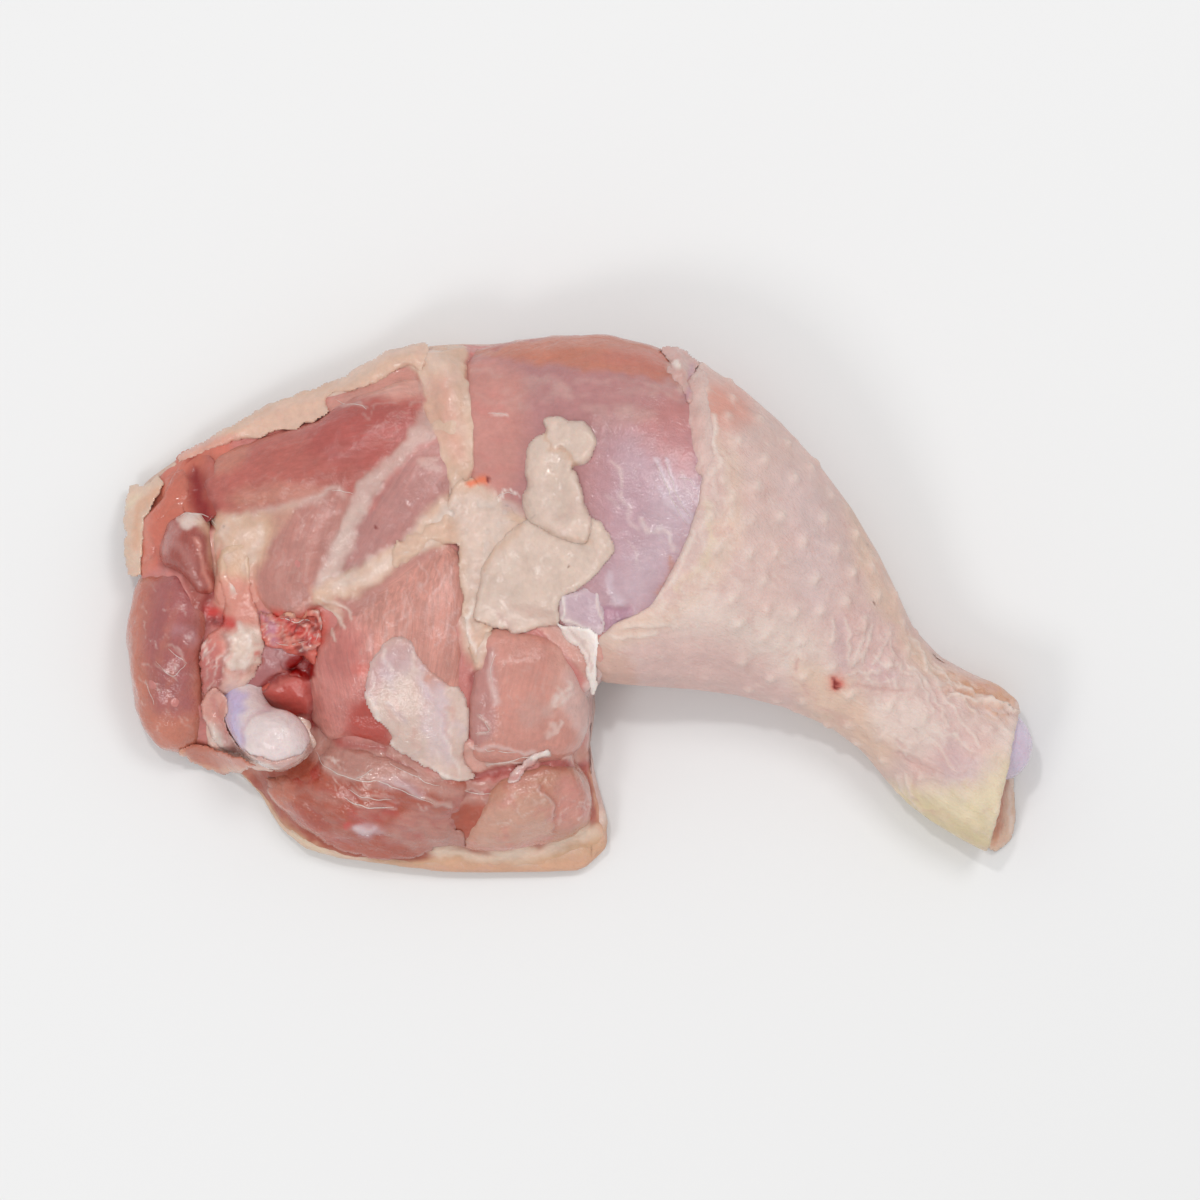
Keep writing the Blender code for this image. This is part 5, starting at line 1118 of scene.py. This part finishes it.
def build_fat(wet):
    valley = ((-37, 10.6), (-31.4, 15.4), (-27.4, 18.4), (-25.6, 21.4), (-22.6, 25), (-19.5, 24.4), (-16.5, 21.4), (-12, 18.6), (-9, 16), (-13, 10), (-16, 3), (-17, -4),
              (-18.4, -8.6), (-20.2, -11.8), (-21.8, -9), (-22.9, -4), (-23, 2), (-23.4, 8), (-24.4, 11.2), (-27.4, 11.8),
              (-32, 9.0), (-37.4, 6.6))
    points, quads = sheet(valley, 0.25, 2.4, ragged=0.6, lip=lambda p: -0.35 - 0.7 * ease(-23, -29, p[:, 0]), seed=98, bridge=90, smooth=8, step=0.42,
                          lump=lambda p: 0.35 * flat_noise(p, 3.4, 99) + 0.2 * flat_noise(p, 1.3, 100))
    dressed("valley_fat", points, quads, "fat", [
        area("pale fat", 3.0, ((-26, 20), (-20, 22), (-14, 17), (-18, 6), (-20, -6), (-22, 2), (-22.6, 12)), 0.8),
        line("spot", 1.2, 1.0, ((-21.2, 23.8), (-19.4, 24.4), (-18.2, 24.6)), 0.9),
        line("bluish", 1.0, 1.8, ((-15, 19.6), (-12.6, 18.6), (-11, 17.6)), 0.5),
        line("white film", 0.8, 0.8, ((-21.4, -1), (-21.8, -5), (-20.4, -9)), 0.7, 0.2),
        *scattered("cream", 14, ((-24, 20), (-16, 18), (-18, 2), (-22, 2)), 0.8, 3.0, 70, 0.4, 0.15, 41, 30)], wet, 70)
    flap = ((-10, 16.5), (-15, 13), (-18.5, 8), (-20, 2), (-20.5, -3), (-18, -4.5), (-14, -5.5), (-12, -6), (-5, -4.3),
            (-3.5, -4), (-3.3, 0.5), (0, 2.8), (4, 5.8), (7, 9.5), (7.5, 11.5), (6, 14.5), (3, 17))
    curl = ((-6.7, 36.3), (-5, 37.2), (-3.3, 37.2), (-1.5, 36.3), (1.5, 35.8), (3.8, 32.3), (2.3, 28), (0.5, 27.2),
            (-0.8, 26.6), (0, 25.5), (1.5, 20), (3, 16.5), (2, 12), (-2, 12.2), (-5, 13.5), (-9.7, 16.5), (-11, 21),
            (-10.2, 23), (-10.5, 26), (-9.8, 31.5), (-6.5, 34.3))
    cream = [
        # Warm fat sunk into the folds at the top of the curl: painted shade.
        line("warm fat", 0.7, 0.7, ((-6.6, 34.6), (-6.1, 32), (-4.8, 30.5), (-2.6, 29.8), (-1.2, 27.6), (0.4, 27)), 0.7, -0.6),
        line("pale fat", 0.6, 0.6, ((8, 13), (4, 9.6), (0, 4)), 0.5, 0.1),
        line("pale fat", 1.4, 1.6, ((-2.6, 36.6), (-1.4, 35.2), (0.6, 35)), 0.6, -0.3),
        dab("fat", 0.7, 0.8, (-3.4, 30.2), 0.6, -0.3),
        line("pale fat", 2.0, 3.0, ((-7, 24), (-6.4, 19), (-3, 15)), 0.5, 0.25),
        # Warm fat along the crease between flap and curl: painted shade.
        line("warm fat", 0.8, 1.0, ((-6, 14.6), (-3, 12.8), (0, 12), (2.6, 12.2)), 0.4, -0.25),
        area("pale fat", 4.0, ((-17, 1), (-12, 0), (-5, -1), (-6, -4), (-16, -5)), 0.6),
        line("film", 1.0, 1.2, ((-15.6, -2), (-13, -5), (-11.4, -6)), 0.6, 0.2),
        dab("speck", 0.3, 0.3, (-1.5, 7.7), 0.7),
        dab("speck", 0.25, 0.3, (-8.8, 17.4), 0.5),
        # Warm fat along the flap's left edge: painted shadow.
        line("warm fat", 1.0, 1.6, ((-18.6, 7), (-15, 12), (-11, 15.4)), 0.5),
    ]
    points, quads = sheet(flap, 1.3, 2.0, ragged=0.22, seed=40, bridge=24, step=0.4,
                          lump=lambda p: 0.45 * flat_noise(p, 4.0, 8) + 0.12 * flat_noise(p, 1.5, 9))
    dressed("fat_flap_look", points, quads, "cream", cream, wet, 30, ["fat_flap"])
    points, quads = sheet(curl, 1.8, 2.0, ragged=0.2, seed=50, bridge=10, step=0.4,
                          lump=lambda p: 0.6 * flat_noise(p, 3.6, 18) + 0.12 * flat_noise(p, 1.4, 19))
    dressed("fat_curl_look", points, quads, "cream", cream, wet, 70, ["fat_curl"])


def build_films(wet, hidden):
    patch = ((-36.5, -6.5), (-40.5, -11), (-42.3, -17), (-42, -19.5), (-39, -24.5), (-37.2, -26.3), (-37, -28.5),
             (-32.5, -31.5), (-27.5, -34.5), (-23.5, -35.5), (-20.5, -34.8), (-22.6, -31), (-21.6, -25), (-22.2, -19),
             (-23.4, -16.2), (-26, -15.6), (-29, -12.8), (-31.4, -9.6), (-33, -7.2))
    veil = [
        area("lavender", 4.0, ((-40, -10), (-34, -8), (-33, -13), (-39, -16), (-42, -17)), 0.5),
        area("mauve meat", 4.0, ((-37, -5), (-42, -12), (-43, -19), (-40, -19), (-36, -13), (-33, -8)), 0.45),
        area("salmon", 3.0, ((-34, -6), (-31.4, -14), (-30, -20), (-28, -18), (-25, -15), (-28, -10), (-32, -6)), 0.75),
        area("lavender film", 3.0, ((-30.6, -18), (-26.4, -17), (-25.6, -28), (-29.6, -30)), 0.6),
        line("pink skin", 1.2, 2.0, ((-31.6, -11), (-30.4, -17), (-30, -24)), 0.6, -0.15),
        line("pale lavender", 1.4, 2.2, ((-27, -16), (-26.4, -24), (-25.6, -31)), 0.5),
        line("white film", 0.7, 0.7, ((-42, -18), (-39, -24.4), (-36.6, -27.6), (-31, -32.4), (-24, -35)), 0.7, 0.15),
        *scattered("white film", 18, patch, 0.5, 8.0, -76, 0.45, 0.10, 30, 12),
        *scattered("salmon", 12, patch, 0.8, 6.0, -76, 0.3, -0.1, 31, 14),
        *scattered("pale lavender", 14, patch, 1.2, 5.0, -68, 0.4, 0.05, 32, 20),
    ]
    points, quads = sheet(patch, 0.5, 1.6, ragged=0.35, lip=lambda p: 0.1 - 0.5 * ease(-62, -48, 1.2 * p[:, 0] + p[:, 1]), seed=60, bridge=24, step=0.4)
    dressed("membrane_look", points, quads, "veil", veil, wet, 80, ["membrane"], stripe=0.3)
    window = ((-3.6, 0.8), (-1, 2.4), (2, 3.4), (4.4, 1.6), (5.4, -2), (4.8, -5.6), (2.4, -6.6), (-0.6, -5.4), (-3.2, -3.6))
    points, quads = sheet(window, 0.12, 2.0, ragged=0.3, lip=-0.35, seed=62, bridge=20, step=0.35)
    dressed("lavender_film", points, quads, "lavender film", [
        area("lavender", 3.0, ((-3, 1), (4, 3), (5, -5), (0, -4)), 0.8),
        line("white film", 0.7, 0.6, ((-3, 1.8), (-2.8, -1.6), (-2.6, -3.6), (0.6, -4.2), (2.6, -6.4)), 0.8, 0.3),
        line("white film", 0.6, 0.6, ((3.8, 3), (4.2, -1), (5, -5)), 0.6, 0.2)], wet, 80, stripe=0.2)
    fascia = ((-4.2, -4), (-1, -4.6), (3.2, -5.6), (4.6, -8), (4, -12), (3.6, -17.6), (2.6, -18), (1.8, -13.6), (0.6, -10), (-1.6, -7.4))
    points, quads = sheet(fascia, 0.5, 1.0, ragged=0.4, lip=-0.1, seed=64, bridge=24, step=0.35)
    dressed("white_fascia", points, quads, "bright film",
            [line("film", 0.6, 0.6, ((-2, -5.4), (1.4, -8.4), (3, -13)), 0.5, -0.2)], wet, 80, stripe=0.2)
    tip = ((-91.6, 21.6), (-89.6, 23.6), (-86.6, 24.6), (-84.2, 26), (-83.2, 23.6), (-84.2, 21.4), (-86, 19.2), (-86.8, 17),
           (-87.4, 12), (-87.6, 6.4), (-90.4, 5.8), (-91, 9), (-91.2, 14), (-91.8, 17))
    points, quads = sheet(tip, 0.45, 1.2, ragged=0.5, lip=-0.15, seed=66, bridge=6, step=0.35, fall=0.8)
    dressed("skin_tip", points, quads, "warm skin", [line("yellow skin", 1.6, 2.0, ((-90.6, 20), (-88, 21.4)), 0.5),
                                                  line("peach", 1.8, 2.4, ((-84.6, 22.4), (-88, 19), (-89, 12)), 0.8)],
            wet, 60, stripe=0.2)
    knot = ((17.4, 50.6), (20.4, 50), (23.4, 48), (24.6, 44), (23.8, 39), (21.6, 39.6), (20.6, 43), (18.4, 45.6))
    points, quads = sheet(knot, 0.5, 2.4, ragged=0.8, lip=-0.35, seed=68, bridge=8, step=0.35,
                          lump=lambda p: 0.9 * flat_noise(p, 2.2, 69) + 0.4 * flat_noise(p, 1.0, 70))
    dressed("knee_knot", points, quads, "rosy skin", [
        dab("white film", 0.8, 0.9, (20, 46.8), 0.9), line("violet", 1.2, 1.4, ((22.8, 47), (22.6, 43), (21.8, 40.6)), 0.6, -0.3),
        line("film", 0.6, 0.6, ((21.4, 48.4), (21.8, 44), (20.8, 42)), 0.6, 0.2)], wet, 80, stripe=0.3)
    # A thin sheet bridging the crease between the hip's edge muscle and the front muscle, in tissue colours with a
    # near-black red down its middle as painted shade.
    shaded_crease = ((-80.6, 29.6), (-77, 31.4), (-74, 30.4), (-71.4, 26), (-71.6, 20.4), (-72.8, 16.6), (-77.4, 16.2), (-80, 20), (-81, 25))
    points, quads = sheet(shaded_crease, 0.0, 3.0, ragged=0.3, lip=-0.5, seed=96, bridge=60, smooth=10)
    dressed("hip_shaded_crease", points, quads, "edge shade", [
        area("edge meat", 3.0, ((-84, 31), (-78, 32), (-78.6, 24), (-80, 17), (-84, 20)), 0.7),
        area("red meat", 2.4, ((-74.4, 30), (-69, 28), (-69, 20), (-72.6, 18)), 0.8),
        # Near-black red down the crease: painted shade.
        line("crease shade", 3.6, 4.0, ((-76.6, 25), (-75.4, 20), (-74, 16)), 1.0, -0.5),
        line("crease shade", 0.7, 1.2, ((-77, 27), (-75.8, 22), (-74.6, 17.6)), 0.8, -0.3)], wet, 70, stripe=0.4)
    veil_edge = ((22.6, 45), (25.6, 46), (27, 38), (27.6, 31), (26.6, 26), (24.4, 24.6), (22.8, 29), (22, 37))
    points, quads = sheet(veil_edge, 0.2, 2.6, ragged=0.5, lip=-0.5, seed=72, bridge=10, step=0.4)
    dressed("skin_film", points, quads, "skin",
            [line("rosy skin", 2.4, 3.0, ((22, 46), (22.6, 40), (23, 32), (23.8, 26)), 0.8)], hidden, 80, stripe=0.2)
    margin = ((-80.6, 30.0), (-76, 32.4), (-72, 34.6), (-68, 36.8), (-64, 39.2), (-60, 41), (-56, 42.4), (-52, 43.6),
              (-48, 45.4), (-44, 47.4), (-41.5, 48.8), (-38, 50.8), (-34, 51.6), (-30, 51.9), (-31, 46.4), (-34, 47.4),
              (-36.6, 46.2), (-40, 44.2), (-43, 43), (-46, 42.6), (-49.4, 41.6), (-50.2, 39.6), (-50, 38), (-52, 36.8),
              (-54.6, 35.8), (-56, 34.7), (-58.4, 34.8), (-60, 34.7), (-62.8, 33.8), (-64, 33), (-66.6, 33.2), (-69, 32.4),
              (-72, 31.4), (-76, 29.8), (-80, 28.6))
    points, quads = sheet(margin, 0.8, 2.6, ragged=0.25, seed=70, bridge=14, step=0.4,
                          lump=lambda p: 0.35 * flat_noise(p, 3.4, 71) + 0.12 * flat_noise(p, 1.3, 73))
    dressed("margin_fat", points, quads, "margin",
            [line("fat", 3.0, 3.0, ((-46, 44.6), (-40, 47), (-34, 49.6)), 0.9),
             line("strip", 1.6, 2.0, ((-72, 34), (-60, 40), (-50, 44)), 0.6),
             area("orange skin", 2.4, ((-84, 30), (-74, 33.6), (-68, 34), (-70, 31.6), (-80, 28)), 0.7)],
            wet, 20)


def cut_out(points, quads, kept):
    """The part of a quad mesh whose corners are all kept."""
    quads = quads[kept[quads].all(1)]
    used, index = np.unique(quads, return_inverse=True)
    return points[used], index.reshape(quads.shape)


def follicles(points, spacing=5.4, radius=0.8):
    """Raised spots scattered over a surface, 0 to 1 at each corner."""
    order = np.random.RandomState(5).permutation(len(points))[:6000]
    chosen = np.zeros((0, 3))
    for at in points[order]:
        if len(chosen) == 0 or ((chosen - at) ** 2).sum(1).min() > spacing ** 2:
            chosen = np.vstack((chosen, at))
    raised = np.zeros(len(points))
    for at in chosen:
        close = np.abs(points - at).max(1) < 4 * radius
        arm = points[close] - at
        along = arm @ np.array((0.6, 0.8, 0))
        raised[close] += np.exp(-((arm ** 2).sum(1) - 0.5 * along ** 2) / (2 * radius ** 2))
    return np.minimum(raised, 1)


def build_skin(hidden):
    """The skin: fine mesh on the drumstick's upper side, coarser elsewhere, in two pieces that overlap."""
    points, quads = organ(["skin"], voxel=0.9, fill=0.5, swell=0.25, rounds=4)
    out = normals(points, quads)
    seen = (points[:, 0] > 5) & (points[:, 2] > 5)
    points, quads = cut_out(points, quads, ~(seen & (out[:, 2] > 0.35)))
    dressed("skin_look", points, quads, "skin", SKIN_PAINT, hidden, -35, ["skin"])
    points, quads = organ(["skin"], voxel=0.45, fill=0.5, swell=0.38, rounds=14)
    out = normals(points, quads)
    seen = (points[:, 0] > 2.6) & (points[:, 2] > 4) & (out[:, 2] > -0.08)
    points, quads = cut_out(points, quads, seen)
    out = normals(points, quads)
    bumps = follicles(points) * ease(26, 30, points[:, 0] + 0.3 * points[:, 1]) * (1 - 0.6 * ease(66, 76, points[:, 0]))
    creased = 0.5 - np.abs(noise(points @ FOLD_TURN, (9.0, 1.7, 3.0), 33))
    creases = creased * ease(48, 60, points[:, 0]) * (1 - ease(-34, -40, points[:, 1]))
    lift = (0.75 * bumps + 0.10 * fractal(points, 4.0, 21) + 0.3 * creases) * ease(0.03, 0.3, out[:, 2])
    points = points + out * lift[:, None]
    # The follicle crowns are mixed towards pale skin: partly their paler tone, partly a painted highlight.
    dressed("sleeve_look", points, quads, "skin", SKIN_PAINT + SKIN_FOLDS, hidden, -35, pale_crowns_and_highlights=bumps)


def build_strands(wet):
    """Thin white threads of fascia, half sunk in what they lie on."""
    threads = (
        (0.08, ((-45.6, -37), (-42.6, -38.6), (-39.4, -39.2), (-37, -39))),
        (0.11, ((-46.6, -38.8), (-43, -40.4), (-39.4, -40.7), (-36.6, -40.8))),
        (0.10, ((-52.4, -29.6), (-50.4, -32.6), (-46.6, -34.6), (-42, -35.2), (-38, -36), (-33, -38), (-28.6, -40))),
        (0.07, ((-44.4, -34.8), (-42, -34), (-40.8, -32.8))),
        (0.07, ((-37.6, -31.8), (-34, -33.6), (-30, -35.6), (-27.6, -36.4))),
        (0.07, ((-23, -37.2), (-19.6, -38.2), (-16.4, -38.2))),
        (0.07, ((-20.4, -28.4), (-16, -29.4), (-10.6, -29.9))),
        (0.10, ((-18.2, -32.3), (-13, -31.4), (-8.4, -29.8))),
        (0.07, ((-19.8, -22), (-18, -24), (-17.6, -25.2), (-20, -25.7))),
        (0.06, ((-16.2, -10), (-17, -12.6), (-16.8, -15.6))),
        (0.08, ((-80.4, 17.2), (-77.4, 18), (-74.2, 17.2), (-71.4, 15.6))),
        (0.06, ((-84, -11.6), (-82.4, -13.6), (-80.8, -14.4), (-79, -12.8), (-78, -12))),
        (0.06, ((-81.4, -9), (-79.4, -10.6), (-77.8, -12))),
        (0.06, ((-86.4, -15), (-85.6, -18), (-84.8, -20.2))),
        (0.07, ((-16.2, 20.4), (-15, 21.7), (-13.4, 22.2), (-11.8, 21.3))),
        (0.06, ((-17.6, 37.9), (-15.8, 37.9), (-13.8, 37.4))),
        (0.06, ((15.6, 28), (17.4, 24), (19.4, 19), (21.8, 15.6))),
        (0.06, ((17.4, 28), (18.6, 24.4), (20.4, 20), (22.4, 16.8))),
        (0.06, ((20, 24.6), (22.2, 24.2), (23.4, 22.8))),
        (0.07, ((-60.2, -7.6), (-57.4, -8.4), (-54.4, -7.8))),
        (0.07, ((-52.2, -7.6), (-51.2, -5), (-51.4, -2.4))),
        (0.09, ((-59.4, -2.6), (-56, -3.6), (-52.8, -3.2))),
        (0.07, ((-49, 22.4), (-46.8, 22.6), (-44.6, 21.6))),
        (0.07, ((-48.4, 40.9), (-46, 40), (-43.4, 39.7), (-41.6, 38.8))),
    )
    points, quads, around = [], [], 6
    for radius, knots in threads:
        path = curve(knots, step=0.125)
        path += 0.2 * np.column_stack((flat_noise(path, 1.6, 3), flat_noise(path, 1.6, 4)))
        height = Bed.heights(path) + 0.4 * radius
        height = np.convolve(np.pad(height, 2, mode="edge"), np.ones(5) / 5, mode="valid")
        ahead = np.gradient(path, axis=0)
        side = np.column_stack((-ahead[:, 1], ahead[:, 0])) / np.linalg.norm(ahead, axis=1)[:, None]
        taper = radius * np.sin(np.linspace(0.12, math.pi - 0.12, len(path))) ** 0.5
        start = sum(len(p) for p in points)
        turns = 2 * math.pi * np.arange(around) / around
        ring = np.concatenate([np.column_stack((path + side * (taper * math.cos(t))[:, None], height + taper * math.sin(t)))
                               for t in turns])
        points.append(ring)
        count = len(path)
        for k in range(around):
            a, b = start + k * count, start + (k + 1) % around * count
            quads += [(a + i, b + i, b + i + 1, a + i + 1) for i in range(count - 1)]
    dressed("fascia_threads", np.concatenate(points), np.array(quads)[:, ::-1], "pale skin", [], wet, 0, stripe=0.0)


def build_ends(hidden, raw):
    apron = ((-62.6, -35.4), (-60.4, -39.6), (-57, -43.4), (-52, -47.4), (-46, -50.4), (-38, -51.6), (-31.6, -51), (-28.6, -48.8),
             (-25.6, -48.4), (-22.6, -48.8), (-23.6, -45.4), (-28, -45), (-38, -46.4), (-48, -44.4), (-55, -40.4), (-59, -36))
    points, quads = sheet(apron, 0.1, 3.0, ragged=0.3, lip=-0.4, seed=102, bridge=90, smooth=8,
                          lump=lambda p: 0.3 * flat_noise(p, 3.6, 103))
    dressed("rear_apron", points, quads, "brown meat", REAR_PAINT, raw, -14, stripe=0.6)
    fascia = ((-14, -35.8), (-13, -33.6), (-10.6, -31.4), (-8.4, -29.6), (-5.6, -29), (-5, -30.4), (-7, -31.6), (-9.6, -33), (-12, -35.6))
    points, quads = sheet(fascia, 0.7, 1.4, ragged=0.5, lip=-0.1, seed=104, bridge=20, step=0.35,
                          lump=lambda p: 0.4 * flat_noise(p, 1.6, 105))
    dressed("fascia_knot", points, quads, "pink skin", [
        line("white film", 1.2, 1.0, ((-9, -30.8), (-7, -30), (-5.4, -29.6)), 0.8, 0.2),
        line("rose", 0.8, 1.0, ((-13, -35), (-11, -33), (-9, -32)), 0.7)], raw, 40, stripe=0.2)
    """The turned-in skin at the hock, and the loose piece under the hip's lobe."""
    inner = ((82.4, -48.8), (84.4, -49.9), (86.4, -49), (88, -46.4), (88.4, -41), (88.2, -36), (87.4, -32), (84, -32), (82, -40),
             (80, -47))
    points, quads = sheet(inner, 2.2, 2.4, ragged=0.2, lip=0.2, seed=92, level=1.2, step=0.4)
    dressed("hock_inner_skin", points, quads, "warm skin", [
        line("orange skin", 2.0, 1.4, ((85.8, -36), (85.2, -41), (84, -46)), 0.7),
        line("brown skin", 1.6, 1.6, ((85, -40), (84.2, -45), (83.4, -48)), 0.7),
        line("pale skin", 0.8, 0.9, ((87.6, -46), (88, -40), (87.6, -35)), 0.8)], hidden, 80)
    loose = ((-80.4, -29.8), (-78.4, -31.6), (-76, -33.2), (-72, -34.4), (-68.6, -34), (-66.4, -33.2), (-64, -32.4), (-67, -31),
             (-72, -29.4), (-77, -28.4))
    points, quads = sheet(loose, 1.0, 1.6, ragged=0.3, lip=0.3, seed=94, bridge=40, step=0.4)
    dressed("hip_loose_skin", points, quads, "hip rim", [
        line("peach", 1.2, 1.4, ((-80, -30), (-76, -33), (-70, -33.8), (-66, -33)), 0.7, 0.2)], raw, 10, stripe=0.3)


def build():
    bare_floor()
    studio()
    wet = flesh("wet_flesh")
    raw = flesh("raw_flesh", 0.15, 0.30, 0.95)
    gristle = flesh("gristle", 0.03, 0.28, 0.7)
    hidden = hide("raw_skin")
    build_muscles(wet, raw)
    build_connective(wet)
    build_skin(hidden)
    build_hip(wet, raw, gristle)
    build_fat(wet)
    build_films(wet, hidden)
    build_ends(hidden, raw)
    build_strands(wet)


build()
